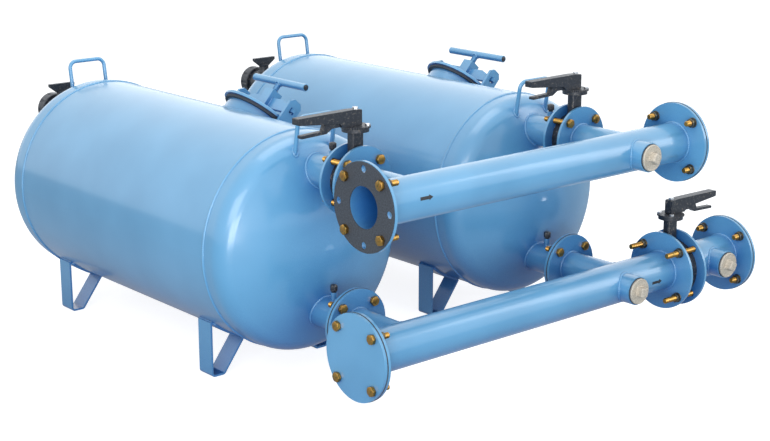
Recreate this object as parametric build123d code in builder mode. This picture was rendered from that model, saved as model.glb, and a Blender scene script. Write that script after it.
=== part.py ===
"""Twin horizontal media filter for irrigation water.

Two lying pressure tanks stand side by side on bent flat-bar legs. An upper
manifold brings raw water in through a butterfly valve for each tank, a lower
manifold takes filtered water out through a third valve and a short spool.

Millimetres. The origin is the middle of the inlet gasket's front face, X runs
along both manifolds, Y runs back along the tanks and Z is up.
"""

import os
from math import acos, asin, cos, degrees, radians, sin, sqrt

from build123d import *

os.makedirs("parts", exist_ok=True)

# Four inch pipe class: both manifolds and the outlet spool
pipe4_radius = 57.15
pipe4_wall = 4.0
flange4_radius = 114.3
flange4_circle = 95.25
inlet_hole_count = 8

# Three inch pipe class: branches and tank nozzles
pipe3_radius = 44.45
pipe3_wall = 4.0
flange3_radius = 95.25
flange3_circle = 76.2

# What both classes share
flange_thickness = 8.0
blind_thickness = 8.0
flange_holes = 4
first_hole_angle = 45.0
bolt_radius = 8.0
bolt_hole_radius = 9.5
gasket_thickness = 3.0
gasket_margin = 1.5
hex_half_flat = 12.0
head_height = 10.0
nut_height = 13.0
bolt_tail = 18.0
inlet_bolt_tail = 26.0
outlet_bolt_tail = 45.0

# Manifolds
manifold_length = 1152.0
first_tank_x = 165.0
tank_pitch = 820.0
branch_length = 198.0
manifold_drop = 388.0
lower_set_back = 24.0
spool_length = 229.0
port_set_back = 215.0
spool_port_set_back = 98.0
port_radius = 41.0
port_reach = 34.0
plug_radius = 37.0
plug_thickness = 9.0
plug_bore = 30.0
plug_thread_depth = 14.0
plug_square = 26.0
plug_square_height = 18.0

# Tanks
tank_radius = 303.0
tank_wall = 5.0
tank_drop = 210.0
shell_front_y = 491.0
shell_length = 979.0
head_skirt = 35.0
crown_factor = 2.0
knuckle_factor = 0.2
seam_bead = 3.0
ground_clearance = 87.0

# Legs, bent from flat bar
leg_width = 60.0
leg_thickness = 6.0
leg_bend = 9.0
leg_outer_x = 205.0
leg_foot = 42.0
leg_inner_x = 92.0
front_leg_inset = 149.0
rear_leg_inset = 60.0

# Lifting handles, bent from round rod
handle_rod = 6.0
handle_half_width = 61.0
handle_bend = 22.0
handle_top = 360.0
handle_inset = 88.0
handle_foot = 264.0
handle_lean = 9.0

# Manhole with its bridge clamp, leaning out from the tank's crown
manhole_tilt = 42.0
manhole_shift = 29.0
neck_radius = 102.0
neck_wall = 6.0
neck_height = 18.0
lid_radius = 120.0
lid_thickness = 9.0
lid_crown = 2.0
lid_edge_bevel = 2.0
lid_gasket_thickness = 8.0
lid_gasket_inner = 92.0
lid_gasket_outer = 113.0
ear_spread = 127.0
ear_thickness = 9.0
ear_width = 50.0
ear_height = 98.0
slot_half = 9.0
tongue_play = 0.3
tongue_reach = 9.0
tongue_drop = 4.5
bridge_thickness = 12.0
bridge_gap = 18.0
bridge_height = 36.0
bridge_top_share = 0.6
boss_half = 20.0
boss_height = 58.0
screw_radius = 10.0
screw_play = 0.05
foot_radius = 21.0
foot_thickness = 10.0
foot_collar = 5.0
foot_play = 0.2
foot_socket = 5.0
handle_tube_radius = 11.0
handle_tube_wall = 2.0
handle_tube_half = 126.0
handle_tube_rise = 149.0

# Backwash and drain valve behind each tank
drain_drop = 40.0
stub_radius = 30.15
stub_wall = 4.0
stub_length = 70.0
drain_body_length = 150.0
drain_body_radius = 42.0
drain_nut_radius = 52.0
drain_nut_length = 40.0
drain_nut_bevel = 4.0
drain_socket_radius = 30.2
drain_socket_depth = 36.0
drain_ball_radius = 33.0
drain_bore = 24.0
drain_neck_radius = 17.0
drain_neck_height = 20.0
drain_stem_radius = 8.0
wing_half = 45.0
wing_root = 17.0
wing_height = 30.0
wing_tip_share = 0.7
wing_thickness = 12.0

# Underdrain inside each tank
header_play = 0.25
header_bore = 35.0
header_cap = 4.0
header_spigot = 30.0
lateral_radius = 13.0
lateral_bore = 10.5
lateral_length = 150.0
lateral_pairs = 6

# Butterfly valves between flanges
valve3_width = 46.0
valve4_width = 54.0
valve_bore_step = 2.0
ring_bolt_play = 2.0
valve3_neck_rise = 64.0
valve4_neck_rise = 66.0
liner_thickness = 6.0
disc_play = 0.3
disc_thickness = 9.0
disc_hub = 3.0
disc_hub_inset = 8.0
stem_foot = 1.0
stem_rise = 6.0
stem_radius = 7.0
stem_play = 0.05
neck_half_x = 19.0
neck_half_y = 13.0
top_plate_radius = 36.0
top_plate_thickness = 10.0
notch_plate_margin = 4.0
notch_plate_thickness = 5.0
notch_count = 10
notch_radius = 3.0
lever_reach = 192.0
lever_heel = 12.0
lever_crown_x = 20.0
lever_crown = 2.0
lever_waist_x = 48.0
lever_throat_x = 60.0
lever_socket = 14.0
lever_half_width = 13.0
lever_wall = 3.0
lever_hub_height = 41.0
lever_tip_height = 17.0
lever_lift = 0.3
trigger_pivot_x = 88.0
trigger_pin_radius = 3.0
trigger_half_width = 8.0
trigger_round = 2.0
trigger_tooth_gap = 6.0
trigger_crown = 7.0
trigger_shoulder = 12.0
trigger_elbow = 22.0
trigger_drop = 12.0
trigger_grip = 8.0
trigger_tip_inset = 12.0
trigger_slope = 3.0

# Small black plugs on the nozzles
test_plug_y = 322.0
test_socket_radius = 9.0
test_socket_height = 20.0
test_plug_radius = 10.0
test_plug_height = 22.0
test_plug_lobe = 2.0

# Sizes worked out from the ones above
lower_z = -manifold_drop
tank_z = -tank_drop
shell_rear_y = shell_front_y + shell_length
manhole_y = shell_front_y + shell_length / 2 - manhole_shift
crown_radius = crown_factor * tank_radius
knuckle_radius = knuckle_factor * tank_radius
knuckle_centre = tank_radius - knuckle_radius
crown_reach = crown_radius - knuckle_radius
head_depth = crown_radius - sqrt(crown_reach**2 - knuckle_centre**2)
upper_nozzle_y = branch_length + flange_thickness + valve3_width
lower_nozzle_y = lower_set_back + branch_length + flange_thickness + gasket_thickness
manifold_end_x = gasket_thickness + manifold_length + flange_thickness
spool_start_x = manifold_end_x + valve4_width
spool_end_x = spool_start_x + spool_length
port_x = manifold_end_x - port_set_back
spool_port_x = spool_end_x - spool_port_set_back
drain_z = -drain_drop
bore3_radius = pipe3_radius - pipe3_wall
bore4_radius = pipe4_radius - pipe4_wall
tank_places = (("tank1", first_tank_x), ("tank2", first_tank_x + tank_pitch))


def facing_x(x, y=0.0, z=0.0):
    """Plane whose normal is +X, with local x along +Y and local y up."""
    return Plane(origin=(x, y, z), x_dir=(0, 1, 0), z_dir=(1, 0, 0))


def facing_back(x, y=0.0, z=0.0):
    """Plane whose normal is -X, with local x along +Y."""
    return Plane(origin=(x, y, z), x_dir=(0, 1, 0), z_dir=(-1, 0, 0))


def facing_y(x, y, z):
    """Plane whose normal is +Y, with local x along -X and local y up."""
    return Plane(origin=(x, y, z), x_dir=(-1, 0, 0), z_dir=(0, 1, 0))


def facing_up(x, y, z):
    """Plane whose normal is +Z."""
    return Plane(origin=(x, y, z), x_dir=(1, 0, 0), z_dir=(0, 0, 1))


def bar(plane, radius, length, mode=Mode.ADD):
    """Round bar, or round hole, that starts on a plane and runs along its normal."""
    with Locations(plane):
        Cylinder(radius, length, align=(Align.CENTER, Align.CENTER, Align.MIN), mode=mode)


def bolt_holes(plane, circle, depth, count=flange_holes, start=first_hole_angle):
    """Ring of bolt holes that starts on a plane."""
    with Locations(plane):
        with PolarLocations(circle, count, start_angle=start):
            Cylinder(
                bolt_hole_radius,
                depth,
                align=(Align.CENTER, Align.CENTER, Align.MIN),
                mode=Mode.SUBTRACT,
            )


def crown_drop(radius):
    """How far the crown has fallen back from the apex at a radius."""
    return crown_radius - sqrt(crown_radius**2 - radius**2)


def head_outline(wall):
    """Half section of a dished head: radius across, distance ahead of the seam along."""
    inner_crown = crown_radius - wall
    inner_knuckle = knuckle_radius - wall
    inner_edge = inner_crown * knuckle_centre / crown_reach
    centre_depth = head_skirt + head_depth - crown_radius
    edge_angle = asin(knuckle_centre / crown_reach)
    mid_angle = (edge_angle + radians(90)) / 2
    crown_mid = edge_angle / 2
    return (
        (0, centre_depth + inner_crown),
        (inner_crown * sin(crown_mid), centre_depth + inner_crown * cos(crown_mid)),
        (inner_edge, centre_depth + inner_crown * cos(edge_angle)),
        (knuckle_centre + inner_knuckle * sin(mid_angle), head_skirt + inner_knuckle * cos(mid_angle)),
        (tank_radius - wall, head_skirt),
    )


def head_plane(tank_x, seam_y, outward):
    """Section plane of a head: local x is the radius and local y runs away from the tank."""
    return Plane(origin=(tank_x, seam_y, tank_z), x_dir=(outward, 0, 0), z_dir=(0, 0, 1))


def head_form(tank_x, seam_y, outward):
    """The space a closed head fills, used to trim whatever is welded on it."""
    outer = head_outline(0)
    with BuildPart() as form:
        with BuildSketch(head_plane(tank_x, seam_y, outward)):
            with BuildLine():
                ThreePointArc(outer[0], outer[1], outer[2])
                ThreePointArc(outer[2], outer[3], outer[4])
                Polyline(outer[4], (tank_radius, 0), (0, 0), outer[0])
            make_face()
        revolve(axis=Axis((tank_x, seam_y, tank_z), (0, 1, 0)))
    return form.part


def dished_head(tank_x, seam_y, outward):
    """Pressed shell with a straight skirt, a knuckle, a shallow crown and its seam weld."""
    outer = head_outline(0)
    inner = head_outline(tank_wall)
    with BuildPart() as head:
        with BuildSketch(head_plane(tank_x, seam_y, outward)):
            with BuildLine():
                ThreePointArc(outer[0], outer[1], outer[2])
                ThreePointArc(outer[2], outer[3], outer[4])
                Polyline(
                    outer[4],
                    (tank_radius, seam_bead),
                    (tank_radius + seam_bead, seam_bead / 2),
                    (tank_radius + seam_bead, 0),
                    (tank_radius - tank_wall, 0),
                    inner[4],
                )
                ThreePointArc(inner[4], inner[3], inner[2])
                ThreePointArc(inner[2], inner[1], inner[0])
                Line(inner[0], outer[0])
            make_face()
        revolve(axis=Axis((tank_x, seam_y, tank_z), (0, 1, 0)))
    return head.part


def hex_bolt(grip, tail):
    """Hexagon bolt whose head sits below the XY plane, with its tail beyond the nut."""
    with BuildPart() as bolt:
        with BuildSketch(Plane.XY.offset(-head_height)):
            RegularPolygon(hex_half_flat, 6, major_radius=False)
        extrude(amount=head_height)
        with BuildSketch(Plane.XY):
            Circle(bolt_radius)
        extrude(amount=grip + nut_height + tail)
    return bolt.part


def hex_nut(grip):
    """Hexagon nut that closes the same grip."""
    with BuildPart() as nut:
        with BuildSketch(Plane.XY.offset(grip)):
            RegularPolygon(hex_half_flat, 6, major_radius=False)
            Circle(bolt_radius, mode=Mode.SUBTRACT)
        extrude(amount=nut_height)
    return nut.part


# Tanks with everything that is welded or clamped on each
for tank, tank_x in tank_places:
    front_form = head_form(tank_x, shell_front_y, -1)
    rear_form = head_form(tank_x, shell_rear_y, 1)
    tank_axis = facing_y(tank_x, shell_front_y, tank_z)
    lean = (sin(radians(manhole_tilt)), 0, cos(radians(manhole_tilt)))
    manhole_foot = Plane(origin=(tank_x, manhole_y, tank_z), x_dir=(0, 1, 0), z_dir=lean)
    neck_top = tank_radius + neck_height
    lid_bottom = neck_top + lid_gasket_thickness
    lid_top = lid_bottom + lid_thickness + lid_crown
    bridge_bottom = lid_top + bridge_gap

    with BuildPart() as tank_shell:
        bar(tank_axis, tank_radius, shell_length)
        bar(tank_axis, tank_radius - tank_wall, shell_length, Mode.SUBTRACT)
        bar(manhole_foot, neck_radius - neck_wall, tank_radius + neck_height, Mode.SUBTRACT)
    tank_shell.part.label = f"{tank}_shell"
    export_step(tank_shell.part, f"parts/{tank}_shell.step")

    with BuildPart() as front_head:
        add(dished_head(tank_x, shell_front_y, -1))
        bar(facing_y(tank_x, upper_nozzle_y, 0), pipe3_radius - pipe3_wall, shell_front_y, Mode.SUBTRACT)
        bar(
            facing_y(tank_x, lower_nozzle_y, lower_z),
            pipe3_radius - pipe3_wall,
            shell_front_y - lower_nozzle_y,
            Mode.SUBTRACT,
        )
    front_head.part.label = f"{tank}_front_head"
    export_step(front_head.part, f"parts/{tank}_front_head.step")

    stub_end_y = shell_rear_y + head_skirt + head_depth - crown_drop(tank_drop - drain_drop) + stub_length
    with BuildPart() as rear_head:
        stub_start = facing_y(tank_x, shell_rear_y + head_skirt, drain_z)
        bar(stub_start, stub_radius, stub_end_y - shell_rear_y - head_skirt)
        add(rear_form, mode=Mode.SUBTRACT)
        add(dished_head(tank_x, shell_rear_y, 1))
        bar(facing_y(tank_x, shell_rear_y, drain_z), stub_radius - stub_wall, shell_length, Mode.SUBTRACT)
    rear_head.part.label = f"{tank}_rear_head"
    export_step(rear_head.part, f"parts/{tank}_rear_head.step")

    # One leg is a loop of flat bar: down, along the floor, up again, and a saddle under the tank
    bar_middle = tank_radius + leg_thickness / 2
    leg_rows = (shell_front_y + front_leg_inset, shell_rear_y - rear_leg_inset)
    with BuildPart() as legs:
        for side in (-1, 1):
            for leg_y in leg_rows:
                with BuildSketch(facing_y(tank_x, leg_y - leg_width / 2, tank_z)):
                    outer_x = side * (leg_outer_x - leg_thickness / 2)
                    foot_x = side * (leg_outer_x - leg_foot)
                    inner_x = side * leg_inner_x
                    sole_z = -(tank_radius + ground_clearance - leg_thickness / 2)
                    with BuildLine() as leg_line:
                        FilletPolyline(
                            (outer_x, -sqrt(bar_middle**2 - outer_x**2)),
                            (outer_x, sole_z),
                            (foot_x, sole_z),
                            (inner_x, -sqrt(bar_middle**2 - inner_x**2)),
                            radius=leg_bend,
                        )
                    trace(leg_line.line, line_width=leg_thickness)
                    outer_angle = -degrees(acos(outer_x / bar_middle))
                    inner_angle = -degrees(acos(inner_x / bar_middle))
                    with BuildLine() as saddle_line:
                        CenterArc((0, 0), bar_middle, outer_angle, inner_angle - outer_angle)
                    trace(saddle_line.line, line_width=leg_thickness)
                    Circle(tank_radius, mode=Mode.SUBTRACT)
                extrude(amount=leg_width)
    legs.part.label = f"{tank}_legs"
    export_step(legs.part, f"parts/{tank}_legs.step")

    # Two bows of round rod, one welded on the shoulder of each head
    with BuildPart() as lift_handles:
        bows = ((shell_front_y - handle_inset, handle_lean), (shell_rear_y + handle_inset, -handle_lean))
        for bow_y, bow_lean in bows:
            rise = Vector(0, -sin(radians(bow_lean)), cos(radians(bow_lean)))
            bow_plane = Plane(
                origin=Vector(tank_x, bow_y, tank_z + handle_foot) - rise * handle_foot,
                x_dir=(-1, 0, 0),
                z_dir=(0, cos(radians(bow_lean)), sin(radians(bow_lean))),
            )
            bow_start = bow_plane.from_local_coords(Vector(-handle_half_width, tank_drop / 2, 0))
            with BuildLine(bow_plane):
                FilletPolyline(
                    (-handle_half_width, tank_drop / 2),
                    (-handle_half_width, handle_top),
                    (handle_half_width, handle_top),
                    (handle_half_width, tank_drop / 2),
                    radius=handle_bend,
                )
            with BuildSketch(Plane(origin=bow_start, x_dir=(1, 0, 0), z_dir=rise)):
                Circle(handle_rod)
            sweep()
        add(front_form, mode=Mode.SUBTRACT)
        add(rear_form, mode=Mode.SUBTRACT)
    lift_handles.part.label = f"{tank}_lift_handles"
    export_step(lift_handles.part, f"parts/{tank}_lift_handles.step")

    # Manhole: neck, gasket and lid stacked along the leaning axis
    with BuildPart() as manhole_neck:
        bar(manhole_foot, neck_radius, neck_top)
        bar(manhole_foot, neck_radius - neck_wall, neck_top, Mode.SUBTRACT)
        bar(tank_axis, tank_radius, shell_length, Mode.SUBTRACT)
    manhole_neck.part.label = f"{tank}_manhole_neck"
    export_step(manhole_neck.part, f"parts/{tank}_manhole_neck.step")

    with BuildPart() as lid_gasket:
        with BuildSketch(manhole_foot.offset(neck_top)):
            Circle(lid_gasket_outer)
            Circle(lid_gasket_inner, mode=Mode.SUBTRACT)
        extrude(amount=lid_gasket_thickness)
    lid_gasket.part.label = f"{tank}_lid_gasket"
    export_step(lid_gasket.part, f"parts/{tank}_lid_gasket.step")

    lid_section = Plane(manhole_foot.origin, x_dir=(0, 1, 0), z_dir=-manhole_foot.y_dir)
    with BuildPart() as manhole_lid:
        with BuildSketch(lid_section):
            with BuildLine():
                Polyline(
                    (0, lid_bottom),
                    (lid_radius, lid_bottom),
                    (lid_radius, lid_bottom + lid_thickness - lid_edge_bevel),
                    (lid_radius - lid_edge_bevel, lid_bottom + lid_thickness),
                    (foot_radius * 2, lid_top),
                    (0, lid_top),
                    close=True,
                )
            make_face()
        revolve(axis=Axis(manhole_foot.origin, manhole_foot.z_dir))
    manhole_lid.part.label = f"{tank}_manhole_lid"
    export_step(manhole_lid.part, f"parts/{tank}_manhole_lid.step")

    # Two ear plates stand on the shell beside the neck, each with a square slot
    slot_top = bridge_bottom + 2 * slot_half
    with BuildPart() as lid_ears:
        for side in (-1, 1):
            ear_plane = Plane(
                manhole_foot.origin + Vector(0, side * ear_spread - ear_thickness / 2, 0),
                x_dir=manhole_foot.y_dir,
                z_dir=(0, 1, 0),
            )
            with BuildSketch(ear_plane):
                with BuildLine():
                    Polyline(
                        (-ear_width / 2, tank_radius / 2),
                        (ear_width / 2, tank_radius / 2),
                        (ear_width / 2, tank_radius + ear_height - ear_width / 4),
                        (ear_width / 4, tank_radius + ear_height),
                        (-ear_width / 4, tank_radius + ear_height),
                        (-ear_width / 2, tank_radius + ear_height - ear_width / 4),
                        close=True,
                    )
                make_face()
                with Locations((0, slot_top - slot_half)):
                    Rectangle(2 * slot_half, 2 * slot_half, mode=Mode.SUBTRACT)
            extrude(amount=ear_thickness)
        bar(tank_axis, tank_radius, shell_length, Mode.SUBTRACT)
    lid_ears.part.label = f"{tank}_lid_ears"
    export_step(lid_ears.part, f"parts/{tank}_lid_ears.step")

    # The bridge spans the lid, its tongues pass the ears and its boss holds the screw
    bridge_half = ear_spread - ear_thickness / 2 - 2 * tongue_play
    tongue_end = ear_spread + ear_thickness / 2 + tongue_reach
    tongue_top = slot_top - tongue_play
    tongue_bottom = bridge_bottom + tongue_drop
    with BuildPart() as lid_bridge:
        with BuildSketch(lid_section.offset(-bridge_thickness / 2)):
            with BuildLine():
                Polyline(
                    (-bridge_half, bridge_bottom),
                    (bridge_half, bridge_bottom),
                    (bridge_half, bridge_bottom + bridge_height / 2),
                    (bridge_half * bridge_top_share, bridge_bottom + bridge_height),
                    (-bridge_half * bridge_top_share, bridge_bottom + bridge_height),
                    (-bridge_half, bridge_bottom + bridge_height / 2),
                    close=True,
                )
            make_face()
            with Locations((0, (tongue_bottom + tongue_top) / 2)):
                Rectangle(2 * tongue_end, tongue_top - tongue_bottom)
        extrude(amount=bridge_thickness)
        with BuildSketch(manhole_foot.offset(bridge_bottom)):
            Rectangle(2 * boss_half, 2 * boss_half)
        extrude(amount=boss_height)
        bar(manhole_foot, screw_radius + screw_play, bridge_bottom + boss_height, Mode.SUBTRACT)
    lid_bridge.part.label = f"{tank}_lid_bridge"
    export_step(lid_bridge.part, f"parts/{tank}_lid_bridge.step")

    foot_bottom = lid_top + foot_play
    screw_tip = foot_bottom + foot_thickness - foot_socket + foot_play
    with BuildPart() as screw_foot:
        bar(manhole_foot.offset(foot_bottom), screw_radius + foot_collar, foot_thickness)
        bar(manhole_foot.offset(foot_bottom), foot_radius, foot_thickness - foot_socket)
        socket_start = manhole_foot.offset(screw_tip - foot_play)
        bar(socket_start, screw_radius + screw_play, foot_thickness, Mode.SUBTRACT)
    screw_foot.part.label = f"{tank}_screw_foot"
    export_step(screw_foot.part, f"parts/{tank}_screw_foot.step")

    tube_height = tank_radius + handle_tube_rise
    tube_plane = Plane(
        manhole_foot.origin + manhole_foot.z_dir * tube_height - Vector(0, handle_tube_half, 0),
        x_dir=manhole_foot.y_dir,
        z_dir=(0, 1, 0),
    )
    with BuildPart() as lid_screw:
        bar(manhole_foot.offset(screw_tip), screw_radius, tube_height - screw_tip)
        bar(tube_plane, handle_tube_radius, 2 * handle_tube_half)
        bar(tube_plane, handle_tube_radius - handle_tube_wall, 2 * handle_tube_half, Mode.SUBTRACT)
    lid_screw.part.label = f"{tank}_lid_screw"
    export_step(lid_screw.part, f"parts/{tank}_lid_screw.step")

    # Flanged nozzles welded on the front head
    for name, nozzle_y, nozzle_z in (
        ("upper_nozzle", upper_nozzle_y, 0.0),
        ("lower_nozzle", lower_nozzle_y, lower_z),
    ):
        nozzle_plane = facing_y(tank_x, nozzle_y, nozzle_z)
        test_point = facing_up(tank_x, test_plug_y, nozzle_z)
        socket_top = pipe3_radius + test_socket_height
        with BuildPart() as nozzle:
            bar(nozzle_plane, flange3_radius, flange_thickness)
            bar(nozzle_plane, pipe3_radius, shell_front_y - nozzle_y)
            bar(test_point, test_socket_radius, socket_top)
            bar(nozzle_plane, pipe3_radius - pipe3_wall, shell_front_y - nozzle_y, Mode.SUBTRACT)
            bar(test_point, test_plug_radius / 2, socket_top, Mode.SUBTRACT)
            bolt_holes(nozzle_plane, flange3_circle, flange_thickness)
            add(front_form, mode=Mode.SUBTRACT)
        nozzle.part.label = f"{tank}_{name}"
        export_step(nozzle.part, f"parts/{tank}_{name}.step")

    # Slotted collector on the tank floor: a header with side arms
    front_inside = shell_front_y - head_skirt - head_depth + crown_drop(manifold_drop - tank_drop)
    header_y = front_inside - header_spigot
    header_end_y = shell_rear_y - header_spigot
    header_length = header_end_y - header_y
    arm_step = shell_length / (lateral_pairs + 1)
    with BuildPart() as underdrain:
        bar(facing_y(tank_x, header_y, lower_z), pipe3_radius - pipe3_wall - header_play, header_length)
        for row in range(lateral_pairs):
            arm_y = shell_front_y + (row + 1) * arm_step
            bar(facing_x(tank_x - lateral_length, arm_y, lower_z), lateral_radius, 2 * lateral_length)
        bar(facing_y(tank_x, header_y, lower_z), header_bore, header_length - header_cap, Mode.SUBTRACT)
        for row in range(lateral_pairs):
            arm_y = shell_front_y + (row + 1) * arm_step
            arm_start = facing_x(tank_x - lateral_length + header_cap, arm_y, lower_z)
            bar(arm_start, lateral_bore, 2 * (lateral_length - header_cap), Mode.SUBTRACT)
    underdrain.part.label = f"{tank}_underdrain"
    export_step(underdrain.part, f"parts/{tank}_underdrain.step")

    # Ball valve on the rear stub
    drain_front = facing_y(tank_x, stub_end_y, drain_z)
    drain_middle_y = stub_end_y + drain_body_length / 2
    half_body = drain_body_length / 2
    nut_edge = half_body - drain_nut_length
    drain_top = facing_up(tank_x, drain_middle_y, drain_z)
    neck_height_total = drain_body_radius + drain_neck_height
    with BuildPart() as drain_body:
        with BuildSketch(facing_back(tank_x, drain_middle_y, drain_z)):
            with BuildLine():
                Polyline(
                    (-half_body, 0),
                    (-half_body, drain_nut_radius - drain_nut_bevel),
                    (-half_body + drain_nut_bevel, drain_nut_radius),
                    (-nut_edge - drain_nut_bevel, drain_nut_radius),
                    (-nut_edge, drain_body_radius),
                    (nut_edge, drain_body_radius),
                    (nut_edge + drain_nut_bevel, drain_nut_radius),
                    (half_body - drain_nut_bevel, drain_nut_radius),
                    (half_body, drain_nut_radius - drain_nut_bevel),
                    (half_body, 0),
                    close=True,
                )
            make_face()
        revolve(axis=Axis((tank_x, drain_middle_y, drain_z), (0, 1, 0)))
        bar(drain_top, drain_neck_radius, neck_height_total)
        bar(drain_front, drain_bore, drain_body_length, Mode.SUBTRACT)
        socket_floor = drain_front.offset(drain_body_length - drain_socket_depth)
        bar(socket_floor, drain_socket_radius, drain_socket_depth, Mode.SUBTRACT)
        with Locations((tank_x, drain_middle_y, drain_z)):
            Sphere(drain_ball_radius, mode=Mode.SUBTRACT)
        bar(drain_top, drain_stem_radius, neck_height_total, Mode.SUBTRACT)
    drain_body.part.label = f"{tank}_drain_body"
    export_step(drain_body.part, f"parts/{tank}_drain_body.step")

    ball_radius = drain_ball_radius - disc_play
    ball_flat = sqrt(ball_radius**2 - drain_bore**2)
    with BuildPart() as drain_ball:
        ball_section = Plane((tank_x, drain_middle_y, drain_z), x_dir=(1, 0, 0), z_dir=(0, -1, 0))
        with BuildSketch(ball_section):
            with BuildLine():
                ThreePointArc((-ball_flat, drain_bore), (0, ball_radius), (ball_flat, drain_bore))
                Line((ball_flat, drain_bore), (-ball_flat, drain_bore))
            make_face()
        revolve(axis=Axis((tank_x, drain_middle_y, drain_z), (1, 0, 0)))
    drain_ball.part.label = f"{tank}_drain_ball"
    export_step(drain_ball.part, f"parts/{tank}_drain_ball.step")

    stem_start = ball_radius
    wing_foot = neck_height_total + lever_lift
    with BuildPart() as drain_handle:
        bar(drain_top.offset(stem_start), drain_stem_radius - stem_play, wing_foot - stem_start)
        bar(drain_top.offset(wing_foot), drain_neck_radius, wing_thickness / 2)
        with BuildSketch(facing_y(tank_x, drain_middle_y - wing_thickness / 2, drain_z)):
            with BuildLine():
                Polyline(
                    (-wing_root, wing_foot),
                    (wing_root, wing_foot),
                    (wing_half, wing_foot + wing_height * wing_tip_share),
                    (wing_half, wing_foot + wing_height),
                    (-wing_half, wing_foot + wing_height),
                    (-wing_half, wing_foot + wing_height * wing_tip_share),
                    close=True,
                )
            make_face()
        extrude(amount=wing_thickness)
    drain_handle.part.label = f"{tank}_drain_handle"
    export_step(drain_handle.part, f"parts/{tank}_drain_handle.step")

# Upper manifold with its inlet flange, two branches and one side port
with BuildPart() as upper_manifold:
    bar(facing_x(gasket_thickness), pipe4_radius, manifold_length + flange_thickness)
    bar(facing_x(gasket_thickness), flange4_radius, flange_thickness)
    bar(facing_x(manifold_end_x - flange_thickness), flange4_radius, flange_thickness)
    for tank, tank_x in tank_places:
        bar(facing_y(tank_x, 0, 0), pipe3_radius, branch_length + flange_thickness)
        bar(facing_y(tank_x, branch_length, 0), flange3_radius, flange_thickness)
    bar(facing_y(port_x, -pipe4_radius - port_reach, 0), port_radius, pipe4_radius + port_reach)
    bar(facing_x(gasket_thickness), bore4_radius, manifold_length + flange_thickness, Mode.SUBTRACT)
    for tank, tank_x in tank_places:
        bar(facing_y(tank_x, 0, 0), bore3_radius, branch_length + flange_thickness, Mode.SUBTRACT)
        bolt_holes(facing_y(tank_x, branch_length, 0), flange3_circle, flange_thickness)
    bar(facing_y(port_x, -pipe4_radius - port_reach, 0), plug_bore, pipe4_radius + port_reach, Mode.SUBTRACT)
    bolt_holes(facing_x(gasket_thickness), flange4_circle, flange_thickness, inlet_hole_count)
    bolt_holes(facing_x(manifold_end_x - flange_thickness), flange4_circle, flange_thickness)
upper_manifold.part.label = "upper_manifold"
export_step(upper_manifold.part, "parts/upper_manifold.step")

# Lower manifold, set back so that its branches are as long as the upper ones
with BuildPart() as lower_manifold:
    lower_start = facing_x(gasket_thickness, lower_set_back, lower_z)
    lower_last = facing_x(manifold_end_x - flange_thickness, lower_set_back, lower_z)
    lower_port = facing_y(port_x, lower_set_back - pipe4_radius - port_reach, lower_z)
    bar(lower_start, pipe4_radius, manifold_length + flange_thickness)
    bar(lower_start, flange4_radius, flange_thickness)
    bar(lower_last, flange4_radius, flange_thickness)
    for tank, tank_x in tank_places:
        bar(facing_y(tank_x, lower_set_back, lower_z), pipe3_radius, branch_length + flange_thickness)
        bar(facing_y(tank_x, lower_set_back + branch_length, lower_z), flange3_radius, flange_thickness)
    bar(lower_port, port_radius, pipe4_radius + port_reach)
    bar(lower_start, pipe4_radius - pipe4_wall, manifold_length + flange_thickness, Mode.SUBTRACT)
    for tank, tank_x in tank_places:
        branch = facing_y(tank_x, lower_set_back, lower_z)
        bar(branch, pipe3_radius - pipe3_wall, branch_length + flange_thickness, Mode.SUBTRACT)
        bolt_holes(branch.offset(branch_length), flange3_circle, flange_thickness)
    bar(lower_port, plug_bore, pipe4_radius + port_reach, Mode.SUBTRACT)
    bolt_holes(lower_start, flange4_circle, flange_thickness)
    bolt_holes(lower_last, flange4_circle, flange_thickness)
lower_manifold.part.label = "lower_manifold"
export_step(lower_manifold.part, "parts/lower_manifold.step")

# Short flanged spool after the outlet valve
with BuildPart() as outlet_spool:
    spool_start = facing_x(spool_start_x, lower_set_back, lower_z)
    spool_last = facing_x(spool_end_x - flange_thickness, lower_set_back, lower_z)
    spool_port = facing_y(spool_port_x, lower_set_back - pipe4_radius - port_reach, lower_z)
    bar(spool_start, pipe4_radius, spool_length)
    bar(spool_start, flange4_radius, flange_thickness)
    bar(spool_last, flange4_radius, flange_thickness)
    bar(spool_port, port_radius, pipe4_radius + port_reach)
    bar(spool_start, pipe4_radius - pipe4_wall, spool_length, Mode.SUBTRACT)
    bar(spool_port, plug_bore, pipe4_radius + port_reach, Mode.SUBTRACT)
    bolt_holes(spool_start, flange4_circle, flange_thickness)
    bolt_holes(spool_last, flange4_circle, flange_thickness)
outlet_spool.part.label = "outlet_spool"
export_step(outlet_spool.part, "parts/outlet_spool.step")

# Blind plates at the three closed ends
blind_planes = (
    facing_x(-blind_thickness, lower_set_back, lower_z),
    facing_x(manifold_end_x + gasket_thickness),
    facing_x(spool_end_x + gasket_thickness, lower_set_back, lower_z),
)
with BuildPart() as blind_flanges:
    for plane in blind_planes:
        bar(plane, flange4_radius, blind_thickness)
        bolt_holes(plane, flange4_circle, blind_thickness)
blind_flanges.part.label = "blind_flanges"
export_step(blind_flanges.part, "parts/blind_flanges.step")

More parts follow.
